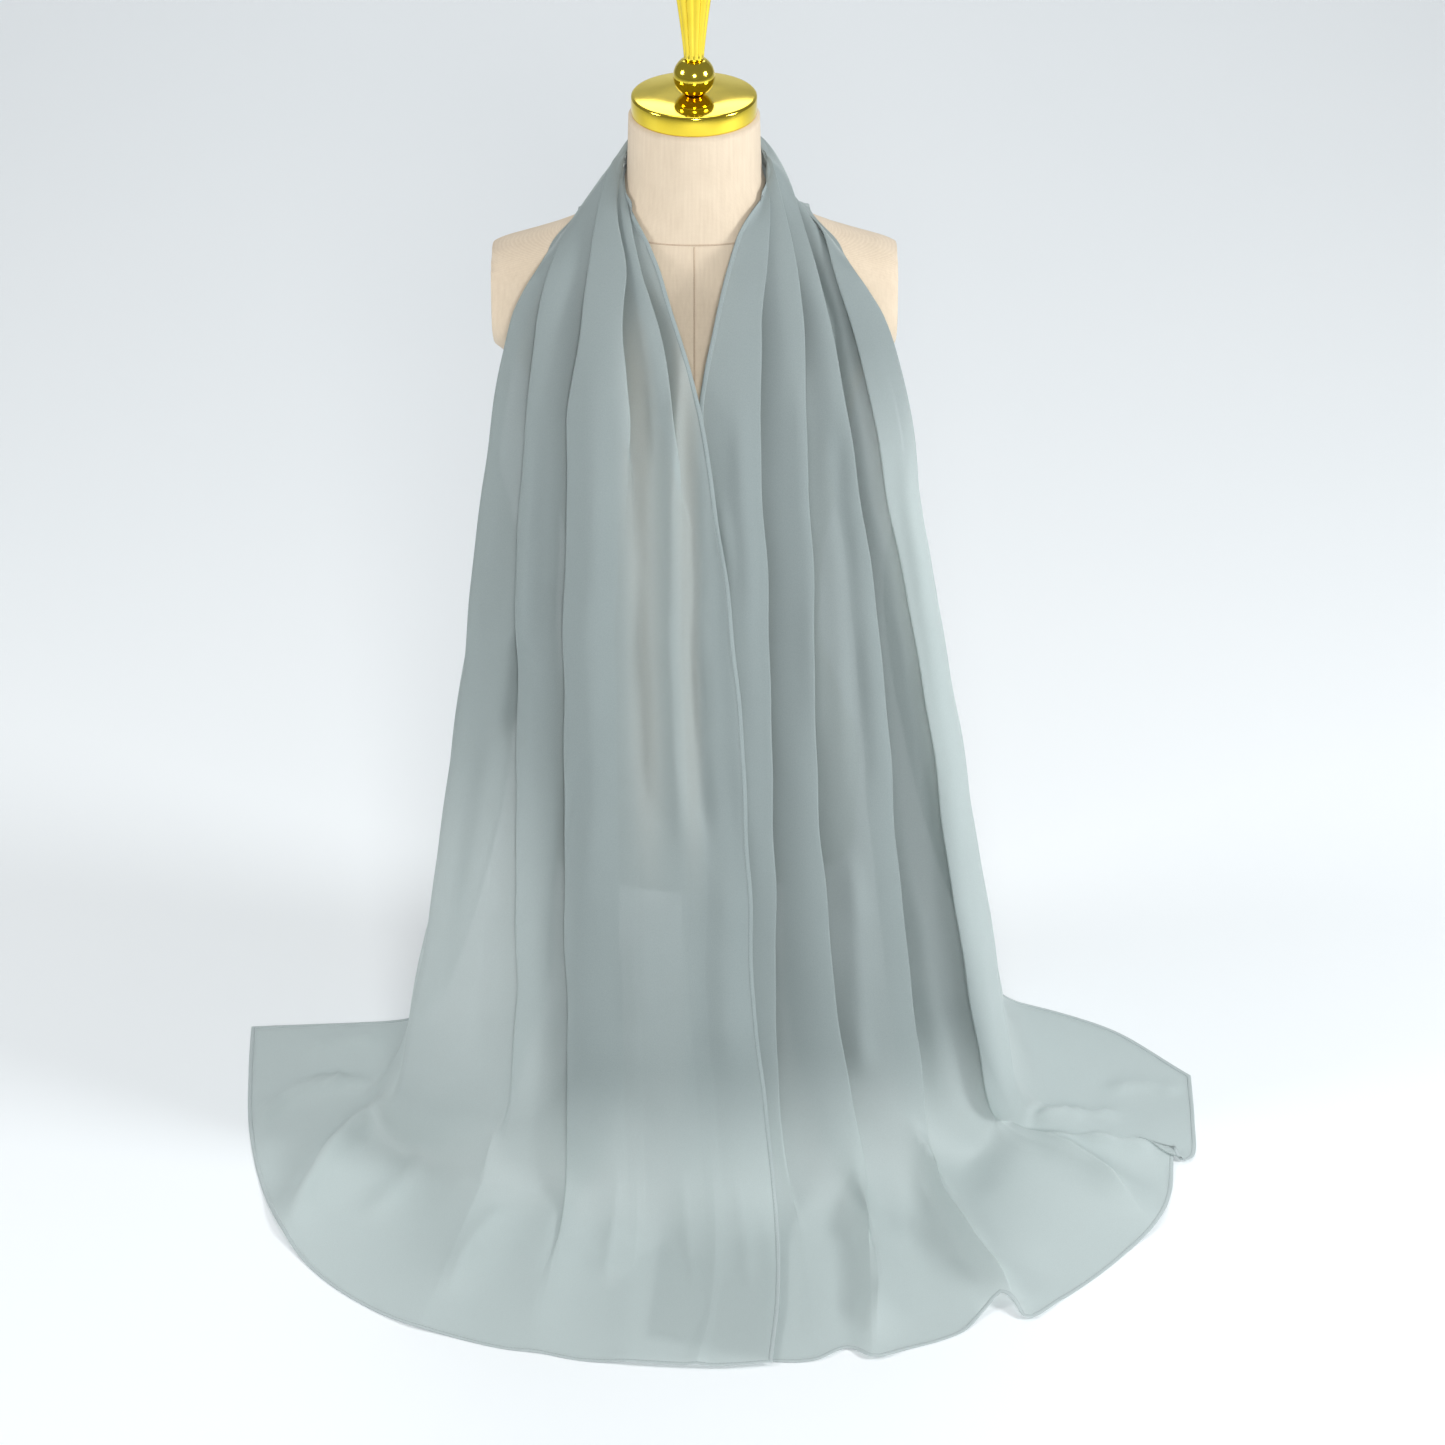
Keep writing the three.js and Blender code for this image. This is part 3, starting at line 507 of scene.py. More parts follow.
def eased(rows, where):
    """The sheet turned softly from hanging to lying on the floor, its hem left where it is."""
    from_hem = np.minimum(where, where[-1] - where)[1:-1, None]
    share = smooth((from_hem - 40) / 70) * smooth((170 - rows[1:-1, :, 2]) / 110)
    share *= 1 - 0.8 * smooth((np.abs(rows[1:-1, :, 0]) - 175) / 50)
    rows = smoothed(rows, share, FLOOR_ROUNDS)
    shoulder = smooth((np.abs(rows[1:-1, :, 0]) - 62) / 20) * smooth((rows[1:-1, :, 2] - 715) / 25)
    return smoothed(rows, shoulder, SHOULDER_ROUNDS)


def creased(rows):
    """The listed creases, and a slight unevenness all over."""
    points = rows.reshape(-1, 3).copy()
    x, y, z = points.T.copy()
    front = smooth((-10 - y) / 30) * smooth((z - 45) / 60) * smooth((745 - z) / 60)
    points[:, 1] -= front * lift(np.stack([x, z], axis=1), FRONT_CREASES)
    floor = smooth((70 - z) / 50)
    points[:, 2] += floor * np.maximum(lift(np.stack([x, y], axis=1), FLOOR_CREASES, 0.6), -z)
    side = smooth((np.abs(x) - 95) / 30) * smooth((y + 85) / 30)
    side = side * smooth((z - 60) / 60) * smooth((700 - z) / 60)
    points[:, 0] += np.sign(x) * side * lift(np.stack([y, z], axis=1), SIDE_CREASES)
    back = smooth((y - 30) / 25) * smooth((z - 560) / 60)
    points[:, 1] += back * lift(np.stack([x, z], axis=1), BACK_CREASES)
    waver = (np.sin(x / 31 + z / 83 + 0.5) + np.sin(z / 47 - x / 59 + 2.1) + 0.7 * np.sin(z / 23 + x / 17))
    points[:, 1] -= front * 0.55 * waver
    sway = np.sin(z / 38 + 0.02 * x) + 0.8 * np.sin(z / 21 + 1.3 + 0.013 * x) + 0.6 * np.sin(z / 13.5 + 0.7)
    points[:, 0] += front * 0.62 * sway
    heave = np.sin(x / 29 + y / 41) + np.sin(y / 33 - x / 53 + 1.1)
    points[:, 2] += floor * np.clip(z / 4, 0, 1) * 0.7 * heave
    return points.reshape(rows.shape)


def whole_sheet():
    """The scarf's points, row by row from the left hem to the right one, and how far along it each row is."""
    left, left_depth = sections_of(LEFT_LINES, LEFT_FOLDS, LEFT_HEM)
    right, right_depth = sections_of(RIGHT_LINES, RIGHT_FOLDS, RIGHT_HEM)
    cuts = np.concatenate([left, right[-2::-1]])
    depths = np.concatenate([left_depth, right_depth[-2::-1]])
    middle_column = cuts.shape[1] // 2
    at = np.concatenate([[0], np.cumsum(np.linalg.norm(np.diff(cuts[:, middle_column], axis=0), axis=1))])
    longest = np.linalg.norm(np.diff(cuts, axis=0), axis=2).max(axis=1)
    where = [np.linspace(at[i], at[i + 1], max(2, int(longest[i] / ROW_PITCH)), endpoint=False)
             for i in range(len(at) - 1)]
    where = np.concatenate(where + [at[-1:]])
    rows = steady(at, cuts, where)
    row_depth = steady(at, depths, where)
    rows = creased(eased(rows, where))
    near_form = np.interp(where, at, [0] * (len(left) - 4) + [1] * 7 + [0] * (len(left) - 4))
    clear = ON_FORM + 0.22 * np.maximum(row_depth.max(axis=1)[:, None] - row_depth, 0)
    rows = clear_of_form(rows, np.where(near_form[:, None] > 0, np.minimum(clear, 4), ON_FORM))
    rows[..., 2] = np.maximum(rows[..., 2], FLOOR_REST)
    # The left train lies over the right one.
    half_way = len(rows) // 2
    left_half = rows[:half_way]
    over = smooth((left_half[..., 0] + 80) / 35) * smooth((90 - left_half[..., 2]) / 60)
    rows[:half_way, :, 2] = np.maximum(left_half[..., 2], FLOOR_REST + LEFT_OVER_RIGHT * over)
    return rows, where


def new_piece(name, mesh):
    """An object for a mesh, in the scene."""
    piece = bpy.data.objects.new(name, mesh)
    bpy.context.collection.objects.link(piece)
    return piece


def smooth_mesh(name, points, faces):
    """A smooth shaded mesh from points in millimetres."""
    mesh = bpy.data.meshes.new(name)
    mesh.from_pydata((points.reshape(-1, 3) * MM).tolist(), [], faces)
    mesh.polygons.foreach_set("use_smooth", [True] * len(mesh.polygons))
    return mesh


def grid_mesh(name, rows, uv=None):
    """A sheet from rows of points in millimetres."""
    count, width = rows.shape[:2]
    index = np.arange(count * width).reshape(count, width)
    faces = np.stack([index[:-1, :-1], index[:-1, 1:], index[1:, 1:], index[1:, :-1]], axis=-1)
    mesh = smooth_mesh(name, rows, faces.reshape(-1, 4).tolist())
    if uv is not None:
        layer = mesh.uv_layers.new(name="cloth")
        corners = np.empty(len(mesh.loops), int)
        mesh.loops.foreach_get("vertex_index", corners)
        layer.data.foreach_set("uv", (uv.reshape(-1, 2)[corners] * MM).ravel())
    mesh.update()
    return new_piece(name, mesh)


def tube_mesh(name, rings, caps=True):
    """A tube from rings of points in millimetres, each joined to the next."""
    count, sides = rings.shape[:2]
    index = np.arange(count * sides).reshape(count, sides)
    turned = np.roll(index, -1, axis=1)
    faces = np.stack([index[:-1], turned[:-1], turned[1:], index[1:]], axis=-1).reshape(-1, 4).tolist()
    if caps:
        faces += [index[0][::-1].tolist(), index[-1].tolist()]
    mesh = smooth_mesh(name, rings, faces)
    mesh.update()
    return new_piece(name, mesh)


def turned_mesh(name, profile, sides=96, flutes=None):
    """A turned piece from (radius, height) points.

    flutes gives the number of its upright grooves, their depth as a share, and the heights of their ends.
    """
    a = np.linspace(0, 2 * math.pi, sides, endpoint=False)
    rings = []
    for radius, z in profile:
        r = np.full(sides, float(radius))
        if flutes:
            count, share, low, high = flutes
            ease = smooth((z - low) / 5) * smooth((high - z) / 5)
            r = r * (1 - share * ease * (0.5 + 0.5 * np.cos(count * a)) ** 2)
        rings.append(np.stack([r * np.cos(a), r * np.sin(a), np.full(sides, float(z))], axis=-1))
    return tube_mesh(name, np.array(rings))


class Socket:
    """One output of a shader node, with Python's operators for its maths."""

    def __init__(self, shade, socket):
        self.shade, self.socket = shade, socket

    def _math(self, operation, *values):
        return self.shade.node("ShaderNodeMath", {"operation": operation}, dict(enumerate(values)))

    def __add__(self, other):
        return self._math("ADD", self, other)

    def __radd__(self, other):
        return self._math("ADD", other, self)

    def __sub__(self, other):
        return self._math("SUBTRACT", self, other)

    def __rsub__(self, other):
        return self._math("SUBTRACT", other, self)

    def __mul__(self, other):
        return self._math("MULTIPLY", self, other)

    def __rmul__(self, other):
        return self._math("MULTIPLY", other, self)


class Shade:
    """A material's node tree."""

    def __init__(self, name):
        self.material = bpy.data.materials.new(name)
        self.material.use_nodes = True
        self.tree = self.material.node_tree
        self.tree.nodes.clear()

    def node(self, kind, settings=None, values=None, output=0):
        """A node with its settings, then the values or links of its sockets; gives one of its outputs."""
        node = self.tree.nodes.new(kind)
        for key, value in (settings or {}).items():
            setattr(node, key, value)
        for key, value in (values or {}).items():
            if isinstance(value, Socket):
                self.tree.links.new(value.socket, node.inputs[key])
            else:
                node.inputs[key].default_value = value
        return Socket(self, node.outputs[output])

    def finish(self, through=0, through_colour=(1, 1, 1), **values):
        """The surface itself, wired to the output; through is the share that lets scattered light pass."""
        named = {key.replace("_", " ").title(): value for key, value in values.items()}
        surface = self.node("ShaderNodeBsdfPrincipled", None, named)
        if through:
            glow = self.node("ShaderNodeBsdfTranslucent", None, {"Color": (*through_colour, 1)})
            surface = self.node("ShaderNodeMixShader", None, {0: through, 1: surface, 2: glow})
        output = self.tree.nodes.new("ShaderNodeOutputMaterial")
        self.tree.links.new(surface.socket, output.inputs["Surface"])
        return self.material

    def place(self):
        return self.node("ShaderNodeTexCoord", None, None, "Object")

    def noise(self, vector, scale, detail, rough):
        return self.node("ShaderNodeTexNoise", None,
                         {"Vector": vector, "Scale": scale, "Detail": detail, "Roughness": rough})

    def mix(self, factor, first, second):
        return self.node("ShaderNodeMix", {"data_type": "RGBA"}, {0: factor, 6: first, 7: second}, 2)

    def blend(self, factor, first, second):
        return self.mix(factor, (*first, 1), (*second, 1))

    def wave(self, vector, way):
        return self.node("ShaderNodeTexWave", {"bands_direction": way}, {
            "Vector": vector, "Scale": 330.0, "Distortion": 1.2, "Detail": 2.0, "Detail Scale": 2.0})

    def bump(self, height, strength, distance):
        return self.node("ShaderNodeBump", None,
                         {"Height": height, "Strength": strength, "Distance": distance})


def chiffon_shade():
    """Sheer crepe with a pebbled grain, painted darker where it hangs and paler where glow is high, as
    painted shade and painted light; gathered and glow are the sheet's own attributes.
    """
    s = Shade("chiffon")
    place = s.place()
    grain = s.noise(place, 1700.0, 2.0, 0.6)
    cloud = s.noise(place, 9.0, 3.0, 0.5)
    density = s.node("ShaderNodeAttribute", {"attribute_name": "gathered"}, None, "Fac")
    glow = s.node("ShaderNodeAttribute", {"attribute_name": "glow"}, None, "Fac")
    fleck = grain * 0.6 + cloud * 0.4
    # Painted light: the hanging cloth gets a darker, shaded copy of the colour, and the laid cloth, outer
    # bands and breast streaks a paler, lit copy; glow picks between them.
    hanging = s.blend(fleck, (0.248, 0.298, 0.301), (0.315, 0.372, 0.376))
    laid = s.blend(fleck, (0.53, 0.61, 0.615), (0.64, 0.72, 0.725))
    tint = s.mix((glow - GATHERED_GLOW) * 4.5, hanging, laid)
    return s.finish(
        through=glow,
        through_colour=(0.70, 0.75, 0.72),
        base_color=tint,
        roughness=0.62,
        alpha=density + (grain - 0.5) * 0.16,
        normal=s.bump(grain, 0.35, 0.0004),
        sheen_weight=0.55,
        sheen_roughness=0.38,
        sheen_tint=(0.90, 1.0, 1.0, 1.0),
    )


def hem_shade():
    """The rolled hem, painted paler where it lies on the floor: painted light."""
    s = Shade("rolled hem")
    grain = s.noise(s.place(), 1500.0, 2.0, 0.6)
    height = s.node("ShaderNodeSeparateXYZ", None, {"Vector": s.place()}, "Z")
    # Painted light: a shaded copy of the colour for the hanging hem and a paler, lit copy near the floor.
    hanging = s.blend(grain, (0.235, 0.285, 0.288), (0.305, 0.36, 0.364))
    laid = s.blend(grain, (0.36, 0.42, 0.425), (0.46, 0.525, 0.53))
    painted_floor_light_mask = s.node("ShaderNodeMapRange", None, {0: height, 1: 0.14, 2: 0.02, 3: 0.0, 4: 1.0})
    tint = s.mix(painted_floor_light_mask, hanging, laid)
    return s.finish(base_color=tint, roughness=0.65, normal=s.bump(grain, 0.3, 0.0003), sheen_weight=0.25)


def thread_shade():
    """The hem's matching thread."""
    s = Shade("hem thread")
    grain = s.noise(s.place(), 2500.0, 1.0, 0.5)
    tint = s.blend(grain, (0.24, 0.29, 0.30), (0.36, 0.42, 0.43))
    return s.finish(base_color=tint, roughness=0.55)


def linen_shade():
    """Plain woven cream linen with slubs."""
    s = Shade("linen")
    place = s.place()
    wobble = s.noise(place, 60.0, 2.0, 0.5)
    warp = s.wave(place, "X")
    weft = s.wave(place, "Z")
    slub = s.node("ShaderNodeTexNoise", None, {
        "Vector": s.node("ShaderNodeMapping", None, {"Vector": place, "Scale": (500.0, 500.0, 40.0)}),
        "Scale": 1.0, "Detail": 2.0})
    weave = warp * weft
    tone = s.blend(weave * 0.35 + slub * 0.4 + wobble * 0.25, (0.62, 0.50, 0.37), (0.86, 0.74, 0.58))
    return s.finish(base_color=tone, roughness=0.88, normal=s.bump(weave + slub * 0.6, 0.35, 0.0003),
                    sheen_weight=0.1)


def gold_shade():
    """Polished gold with faint wipe marks."""
    s = Shade("polished gold")
    smear = s.noise(s.place(), 45.0, 3.0, 0.55)
    return s.finish(base_color=s.blend(smear, (0.86, 0.62, 0.04), (0.95, 0.75, 0.09)), metallic=1.0,
                    roughness=0.06 + smear * 0.08)


def enamel_shade():
    """Baked white enamel."""
    s = Shade("white enamel")
    peel = s.noise(s.place(), 420.0, 2.0, 0.5)
    return s.finish(base_color=s.blend(peel, (0.80, 0.79, 0.77), (0.86, 0.85, 0.83)),
                    roughness=0.35 + peel * 0.1, normal=s.bump(peel, 0.15, 0.0002), coat_weight=0.2)


def seam_shade():
    """The shaded line of a seam in the linen."""
    s = Shade("seam")
    grain = s.noise(s.place(), 900.0, 2.0, 0.6)
    return s.finish(base_color=s.blend(grain, (0.46, 0.34, 0.24), (0.62, 0.49, 0.37)), roughness=0.85)


def finish_with(piece, material, slot, *nodes):
    """Gives a piece its material, hangs it under the root, and hides the frame's nodes that it stands for."""
    piece.data.materials.clear()
    piece.data.materials.append(material)
    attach(piece, "root")
    if nodes:
        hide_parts(*nodes)


def cloth_light(rows):
    """The share of light each point of the cloth stops, and of that the share it scatters through.

    Gathered parts stop the most. Two streaks over the breast stop less, and what lies on the floor or hangs
    outermost lets more light through. The scatter share also sets the chiffon's colour, so these parts are
    painted paler: painted light.
    """
    x, y, z = rows.reshape(-1, 3).T
    middle = -0.02 * (z - 430)
    streaks = np.exp(-((x + 37 - middle) / 11) ** 2) + np.exp(-((x + 2 - middle) / 9) ** 2)
    breast = streaks * smooth((z - 240) / 170) * smooth((735 - z) / 80) * smooth((-60 - y) / 20)
    right_outer = smooth((x - 156 - 0.2 * (428 - z)) / 20) * smooth((690 - z) / 150)
    left_outer = 0.65 * smooth((-x - 85) / 50) * smooth((430 - z) / 200)
    # laid marks the floor and the outer bands, which are sheerer and, through the scatter share, painted
    # paler: painted light.
    laid = np.maximum(smooth((130 - z) / 110), right_outer + left_outer)
    stops = GATHERED_STOPS - LAID_SHEERER * laid - BREAST_SHEERER * breast
    return stops, GATHERED_GLOW + LAID_GLOW_AND_PAINTED_LIGHT * (laid + breast)


def edge_loop(rows):
    """The sheet's edge, once round, with the direction into the cloth and its normal at each point."""
    along = np.gradient(rows, axis=0)
    across = np.gradient(rows, axis=1)
    sides = [
        (rows[0, :], along[0, :]),
        (rows[:, -1], -across[:, -1]),
        (rows[-1, ::-1], -along[-1, ::-1]),
        (rows[::-1, 0], across[::-1, 0]),
    ]
    points, inward = (np.concatenate([side[k][:-1] for side in sides]) for k in range(2))
    ahead = np.roll(points, -1, axis=0) - np.roll(points, 1, axis=0)
    ahead /= np.linalg.norm(ahead, axis=-1)[:, None] + 1e-9
    inward -= ahead * np.sum(inward * ahead, axis=-1)[:, None]
    inward /= np.linalg.norm(inward, axis=-1)[:, None] + 1e-9
    return points, inward, np.cross(ahead, inward)


def resampled(points, inward, normal, pitch):
    """A closed loop of points with its two directions, at an even pitch."""
    closed = np.concatenate([points, points[:1]])
    run = np.concatenate([[0], np.cumsum(np.linalg.norm(np.diff(closed, axis=0), axis=1))])
    at = np.linspace(0, run[-1], int(run[-1] / pitch), endpoint=False)
    made = []
    for values in (points, inward, normal):
        around = np.concatenate([values, values[:1]])
        made.append(np.stack([np.interp(at, run, around[:, axis]) for axis in range(3)], axis=-1))
    return made


def rolled_hem(edge, inward, normal):
    """The hem's flat roll, all round the sheet."""
    turn = np.linspace(0, 2 * math.pi, 10, endpoint=False)
    rings = (edge[:, None] + inward[:, None] * (HEM_WIDTH / 2 * (1 + np.cos(turn)))[None, :, None]
             + normal[:, None] * (HEM_THICK / 2 * np.sin(turn))[None, :, None])
    rings = clear_of_form(rings, HEM_CLEAR)
    rings[..., 2] = np.maximum(rings[..., 2], 0.05)
    return tube_mesh("rolled_hem", np.concatenate([rings, rings[:1]]), caps=False)


def stitch_tree(thread):
    """Stitches along a path, a bead of thread at every pitch, with the values of the tree's inputs."""
    tree = bpy.data.node_groups.new("hem stitches", "GeometryNodeTree")
    face = tree.interface
    face.new_socket("Geometry", in_out="INPUT", socket_type="NodeSocketGeometry")
    sizes = {
        "Stitch pitch": STITCH_PITCH * MM,
        "Stitch length": STITCH_LENGTH * MM,
        "Thread width": THREAD_WIDTH * MM,
        "Stitch height": STITCH_HEIGHT * MM,
    }
    keys = {}
    for label, value in sizes.items():
        socket = face.new_socket(label, in_out="INPUT", socket_type="NodeSocketFloat")
        socket.default_value = value
        keys[socket.identifier] = value
    socket = face.new_socket("Thread", in_out="INPUT", socket_type="NodeSocketMaterial")
    keys[socket.identifier] = thread
    face.new_socket("Geometry", in_out="OUTPUT", socket_type="NodeSocketGeometry")
    new, link = tree.nodes.new, tree.links.new
    start, end = new("NodeGroupInput"), new("NodeGroupOutput")
    path = new("GeometryNodeMeshToCurve")
    points = new("GeometryNodeCurveToPoints")
    points.mode = "LENGTH"
    bead = new("GeometryNodeMeshUVSphere")
    bead.inputs["Segments"].default_value = 6
    bead.inputs["Rings"].default_value = 4
    bead.inputs["Radius"].default_value = 0.5
    size = new("ShaderNodeCombineXYZ")
    put = new("GeometryNodeInstanceOnPoints")
    real = new("GeometryNodeRealizeInstances")
    colour = new("GeometryNodeSetMaterial")
    link(start.outputs["Geometry"], path.inputs["Mesh"])
    link(path.outputs["Curve"], points.inputs["Curve"])
    link(start.outputs["Stitch pitch"], points.inputs["Length"])
    link(points.outputs["Points"], put.inputs["Points"])
    link(points.outputs["Rotation"], put.inputs["Rotation"])
    link(bead.outputs["Mesh"], put.inputs["Instance"])
    link(start.outputs["Thread width"], size.inputs["X"])
    link(start.outputs["Stitch height"], size.inputs["Y"])
    link(start.outputs["Stitch length"], size.inputs["Z"])
    link(size.outputs["Vector"], put.inputs["Scale"])
    link(put.outputs["Instances"], real.inputs["Geometry"])
    link(real.outputs["Geometry"], colour.inputs["Geometry"])
    link(start.outputs["Thread"], colour.inputs["Material"])
    link(colour.outputs["Geometry"], end.inputs["Geometry"])
    return tree, keys


def stitched(name, path, tree, keys):
    """The stitches along a closed path in millimetres, as a plain mesh."""
    mesh = bpy.data.meshes.new(name)
    count = len(path)
    mesh.from_pydata((path * MM).tolist(), [(i, (i + 1) % count) for i in range(count)], [])
    guide = new_piece(name + "_path", mesh)
    modifier = guide.modifiers.new("stitches", "NODES")
    modifier.node_group = tree
    for key, value in keys.items():
        modifier[key] = value
    graph = bpy.context.evaluated_depsgraph_get()
    made = bpy.data.meshes.new_from_object(guide.evaluated_get(graph))
    guide.modifiers.clear()
    bpy.data.objects.remove(guide)
    return new_piece(name, made)


def form_rings():
    """The dress form's outline at each height, its shoulder stubs cut off flat with a soft edge."""
    a = np.linspace(0, 2 * math.pi, FORM_SIDES, endpoint=False)
    heights = np.unique(np.concatenate([np.arange(TORSO_BOTTOM, 834, FORM_RING_PITCH), [FORM_TOP]]))
    rings = []
    for z in heights:
        half, front, back = (float(np.interp(z, FINE_Z, FINE_PLAN[:, k])) for k in range(3))
        x = half * np.cos(a)
        soft = SHOULDER_X - 3 + 3 * np.tanh((np.abs(x) - SHOULDER_X + 3) / 3)
        x = np.where(np.abs(x) > SHOULDER_X - 3, np.sign(x) * soft, x)
        y = np.sin(a) * np.where(np.sin(a) < 0, front, back)
        rings.append(np.stack([x, y, np.full_like(a, z)], axis=-1))
    return np.array(rings)


def on_form(points, off):
    """Points moved onto the form's surface, a little off it."""
    points = np.array(points, float)
    for _ in range(12):
        slope = form_slope(points)
        size = np.linalg.norm(slope, axis=-1)
        points += slope / size[..., None] * (off - form_value(points) / size)[..., None]
    return points


def seam_strip(name, path, width, height):
    """A narrow raised seam that follows a path over the form."""
    path = on_form(path, 0.0)
    ahead = np.gradient(path, axis=0)
    ahead /= np.linalg.norm(ahead, axis=-1)[:, None]
    up = form_slope(path)
    up /= np.linalg.norm(up, axis=-1)[:, None]
    side = np.cross(ahead, up)
    t = np.linspace(0, 2 * math.pi, 8, endpoint=False)
    rings = (path[:, None] + side[:, None] * (width / 2 * np.cos(t))[None, :, None]
             + up[:, None] * (height * np.sin(t))[None, :, None])
    return tube_mesh(name, rings)


# The scarf.
rows, row_at = whole_sheet()
column_run = np.linspace(0, SHOWN_WIDTH, rows.shape[1])
uv = np.stack(np.broadcast_arrays(column_run[None, :], row_at[:, None]), axis=-1)
scarf = grid_mesh("scarf", rows, uv)
for name, values in zip(("gathered", "glow"), cloth_light(rows)):
    scarf.data.attributes.new(name, "FLOAT", "POINT").data.foreach_set("value", values)
edge, edge_in, edge_normal = resampled(*edge_loop(rows), HEM_PITCH)
hem = rolled_hem(edge, edge_in, edge_normal)
thread = thread_shade()
tree, keys = stitch_tree(thread)
stitches = stitched("hem_stitches", edge + edge_in * HEM_WIDTH * STITCH_INSET, tree, keys)

# The dress form.
dress_form = tube_mesh("dress_form", form_rings())
turn = np.linspace(-math.pi, 0, 90)
seam_z = NECK_SEAM_Z + NECK_SEAM_DROP * np.sin(turn)
seam_at = np.stack([60 * np.cos(turn), 55 * np.sin(turn), seam_z], axis=-1)
neck_seam = seam_strip("neck_seam", seam_at, *NECK_SEAM_SIZE)
seam_at = np.stack([np.zeros(80), np.full(80, -60.0), np.linspace(*FRONT_SEAM_ENDS, 80)], axis=-1)
front_seam = seam_strip("front_seam", seam_at, *FRONT_SEAM_SIZE)

# The gold neck cap and finial.
low = CAP_TOP - CAP_THICK
cap = turned_mesh("gold_cap", [
    (CAP_RADIUS - 2.2, low), (CAP_RADIUS - 0.9, low + 0.3), (CAP_RADIUS - 0.2, low + 1.0),
    (CAP_RADIUS, low + 2.0), (CAP_RADIUS, CAP_TOP - 2.0), (CAP_RADIUS - 0.2, CAP_TOP - 1.0),
    (CAP_RADIUS - 0.9, CAP_TOP - 0.3), (CAP_RADIUS - 2.2, CAP_TOP), (20, CAP_TOP + 0.15),
], 160)
ball_profile = []
for z in np.linspace(CAP_TOP + 0.3, COLUMN_FOOT - 0.3, 40):
    ball_profile.append((math.sqrt(BALL_RADIUS ** 2 - (z - BALL_CENTRE) ** 2), z))
ball = turned_mesh("gold_ball", ball_profile, 96)
column_profile = [(COLUMN_LOW_RADIUS - 0.8, COLUMN_FOOT), (COLUMN_LOW_RADIUS, COLUMN_FOOT + 0.8)]
for t in np.linspace(0, 1, 36)[1:]:
    radius = COLUMN_LOW_RADIUS + (COLUMN_TOP_RADIUS - COLUMN_LOW_RADIUS) * t ** 1.2
    column_profile.append((radius, COLUMN_FOOT + 0.8 + (COLUMN_TOP - 8.8 - COLUMN_FOOT) * t))
column_profile += [(COLUMN_TOP_RADIUS - 0.6, COLUMN_TOP - 5), (COLUMN_TOP_RADIUS - 2.5, COLUMN_TOP - 2),
                   (COLUMN_TOP_RADIUS - 6, COLUMN_TOP)]
column = turned_mesh("gold_column", column_profile, 144, (12, 0.10, COLUMN_FOOT + 1, COLUMN_TOP - 7))

# The stand.
pole = turned_mesh("pole", [(POLE_RADIUS, BASE_THICK + 0.3), (POLE_RADIUS, TORSO_BOTTOM - 0.3)], 64)
base = turned_mesh("base", [
    (BASE_RADIUS - 1.0, 0), (BASE_RADIUS, 1.0), (BASE_RADIUS, BASE_THICK - 4),
    (BASE_RADIUS - 1.0, BASE_THICK - 1.6), (BASE_RADIUS - 3.6, BASE_THICK - 0.2),
    (BASE_RADIUS - 5, BASE_THICK), (20, BASE_THICK),
], 144)

# Finishes, and what each piece stands for.
chiffon, linen, gold = chiffon_shade(), linen_shade(), gold_shade()
enamel, seam = enamel_shade(), seam_shade()
finish_with(scarf, chiffon, "chiffon", "scarf_left_train", "scarf_left_drop", "scarf_neck",
            "scarf_right_drop", "scarf_right_train")
finish_with(hem, hem_shade(), "chiffon")
finish_with(stitches, thread, "chiffon")
finish_with(dress_form, linen, "linen", "form_torso", "form_neck")
finish_with(neck_seam, seam, "linen")
finish_with(front_seam, seam, "linen")
finish_with(cap, gold, "gold", "neck_cap")
finish_with(ball, gold, "gold", "finial_ball")
finish_with(column, gold, "gold", "finial_column")
finish_with(pole, enamel, "enamel", "stand_pole")
finish_with(base, enamel, "enamel", "stand_base")


# The studio: a pale floor that curves up behind, softboxes all round, a 100 mm lens.
FLOOR_FRONT = -4.5
FLOOR_BACK = 4.2
BACKDROP_CURVE = 1.4
BACKDROP_TOP = 4.0
LIGHTS = [
    dict(name="left_softbox", at=(-2.5, -0.7, 1.8), size=0.8, watts=27, colour=(1.0, 0.99, 0.975),
         target=(0, 0, 0.45)),
    dict(name="right_softbox", at=(2.5, -0.8, 1.6), size=0.8, watts=50, colour=(0.99, 1.0, 1.0),
         target=(0, 0, 0.45)),
    dict(name="top_softbox", at=(0.0, 0.9, 3.4), size=1.5, watts=16, colour=(1.0, 1.0, 1.0),
         target=(0, 0, 0.45)),
    dict(name="front_softbox", at=(0.2, -3.3, 2.0), size=0.7, watts=62, colour=(1.0, 0.99, 0.98),
         target=(0.0, -0.1, 0.7)),
    dict(name="back_softbox", at=(0.0, 3.4, 3.0), size=2.4, watts=38, colour=(1.0, 1.0, 1.0),
         target=(0.0, 3.2, 0.0)),
]
AIR_COLOUR = (0.90, 0.94, 0.97, 1)
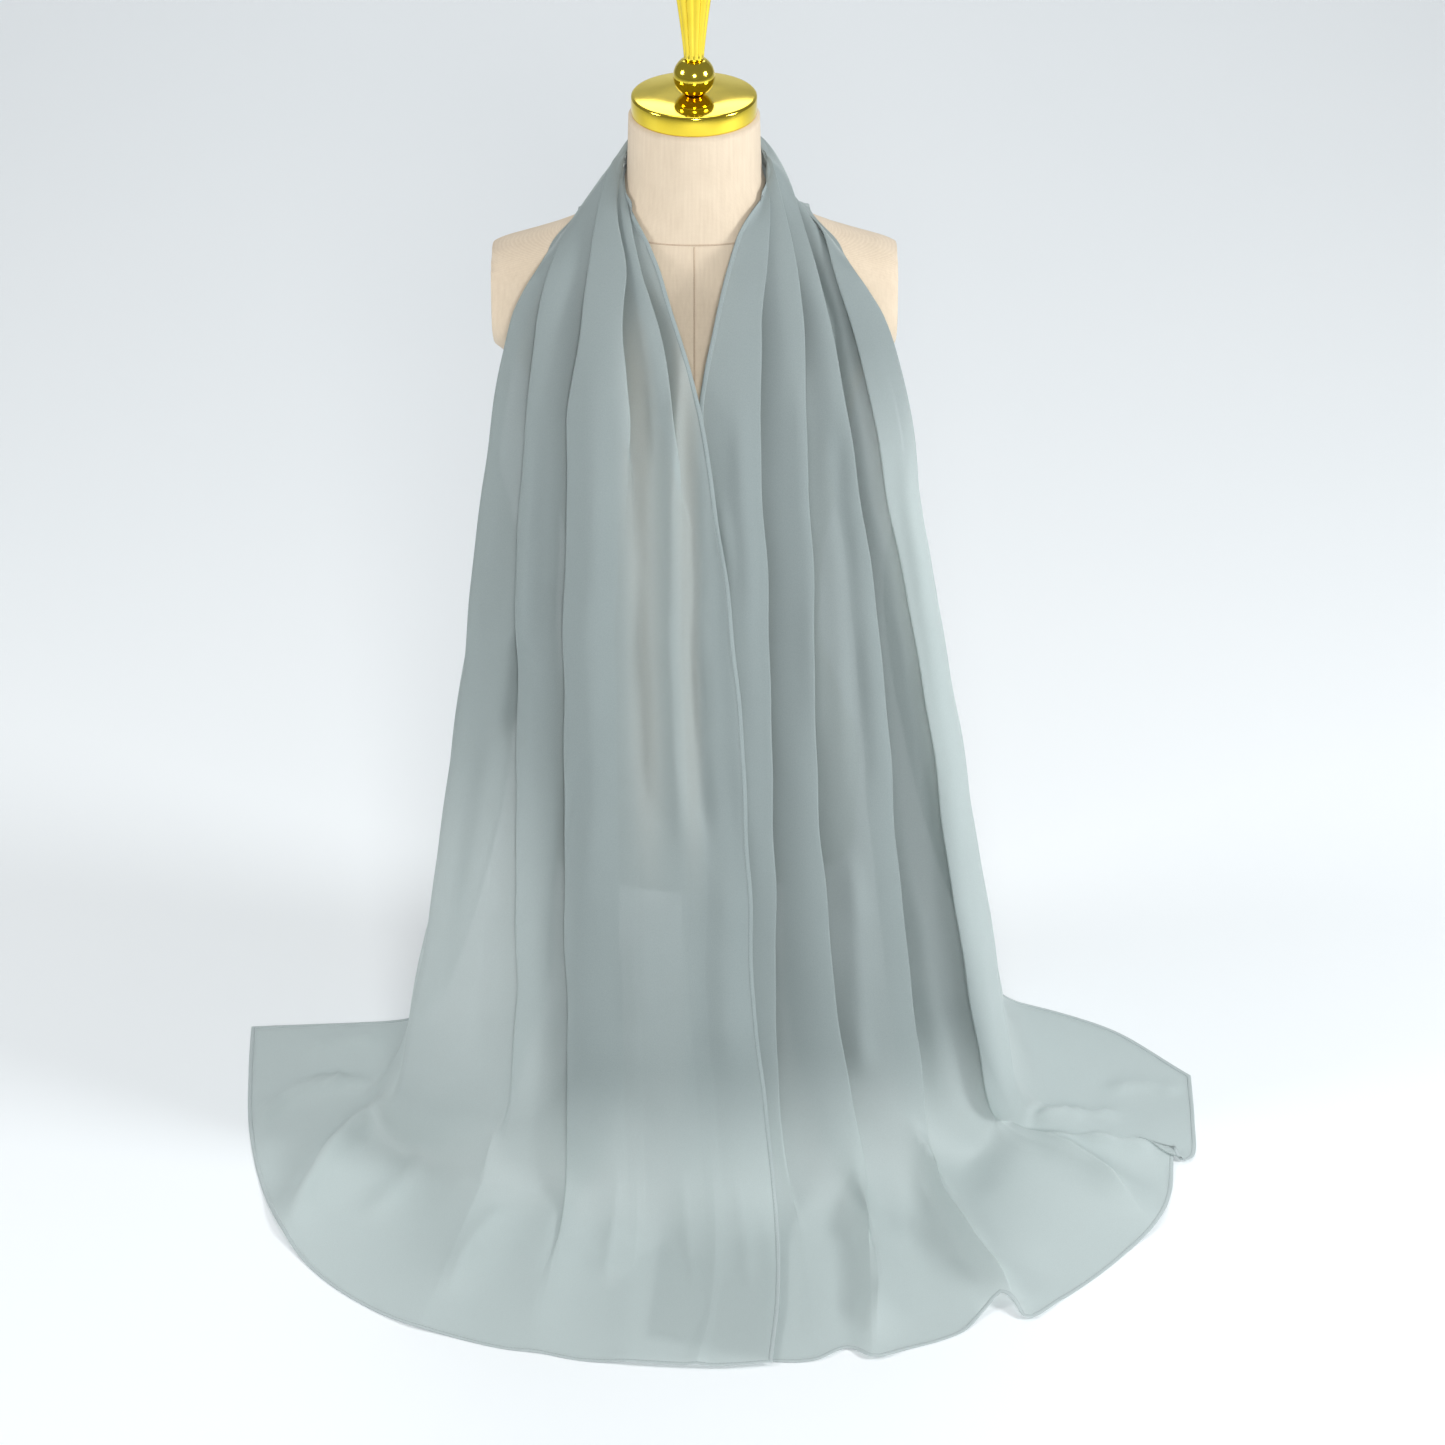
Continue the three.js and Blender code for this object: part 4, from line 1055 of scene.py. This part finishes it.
AIR_STRENGTH = 0.25
CAMERA_AT = (0.0207, -2.743, 1.947)
CAMERA_DOWN = 30.7


def studio():
    """The pale floor with its backdrop."""
    bend = np.linspace(0, math.pi / 2, 16)[1:]
    y = np.concatenate([np.linspace(FLOOR_FRONT, FLOOR_BACK, 12), FLOOR_BACK + BACKDROP_CURVE * np.sin(bend),
                        [FLOOR_BACK + BACKDROP_CURVE]])
    z = np.concatenate([np.zeros(12), BACKDROP_CURVE - BACKDROP_CURVE * np.cos(bend), [BACKDROP_TOP]])
    x = np.linspace(-5, 5, 9)
    grid = np.stack(np.broadcast_arrays(x[None, :], y[:, None], z[:, None]), axis=-1) / MM
    floor = grid_mesh("studio_floor", grid)
    s = Shade("studio white")
    cloud = s.noise(s.place(), 1.5, 2.0, 0.5)
    paint = s.finish(base_color=s.blend(cloud, (0.86, 0.90, 0.925), (0.89, 0.92, 0.94)), roughness=0.8)
    floor.data.materials.append(paint)


def area_light(name, at, size, watts, colour, target):
    """A round softbox that looks at its target."""
    light = bpy.data.lights.new(name, "AREA")
    light.shape, light.size, light.energy, light.color = "DISK", size, watts, colour
    lamp = bpy.data.objects.new(name, light)
    lamp.location = at
    lamp.rotation_mode = "QUATERNION"
    lamp.rotation_quaternion = (Vector(target) - Vector(at)).to_track_quat("-Z", "Y")
    bpy.context.collection.objects.link(lamp)


studio()
for softbox in LIGHTS:
    area_light(**softbox)
world = bpy.data.worlds.new("studio air")
world.use_nodes = True
air = world.node_tree.nodes["Background"]
air.inputs["Color"].default_value = AIR_COLOUR
air.inputs["Strength"].default_value = AIR_STRENGTH
bpy.context.scene.world = world
bpy.context.scene.view_settings.view_transform = "Standard"

camera_data = bpy.data.cameras.new("camera")
camera_data.lens, camera_data.sensor_width = 100.0, 36.0
camera = bpy.data.objects.new("camera", camera_data)
camera.location = CAMERA_AT
camera.rotation_euler = (math.radians(90 - CAMERA_DOWN), 0, 0)
bpy.context.collection.objects.link(camera)
bpy.context.scene.camera = camera
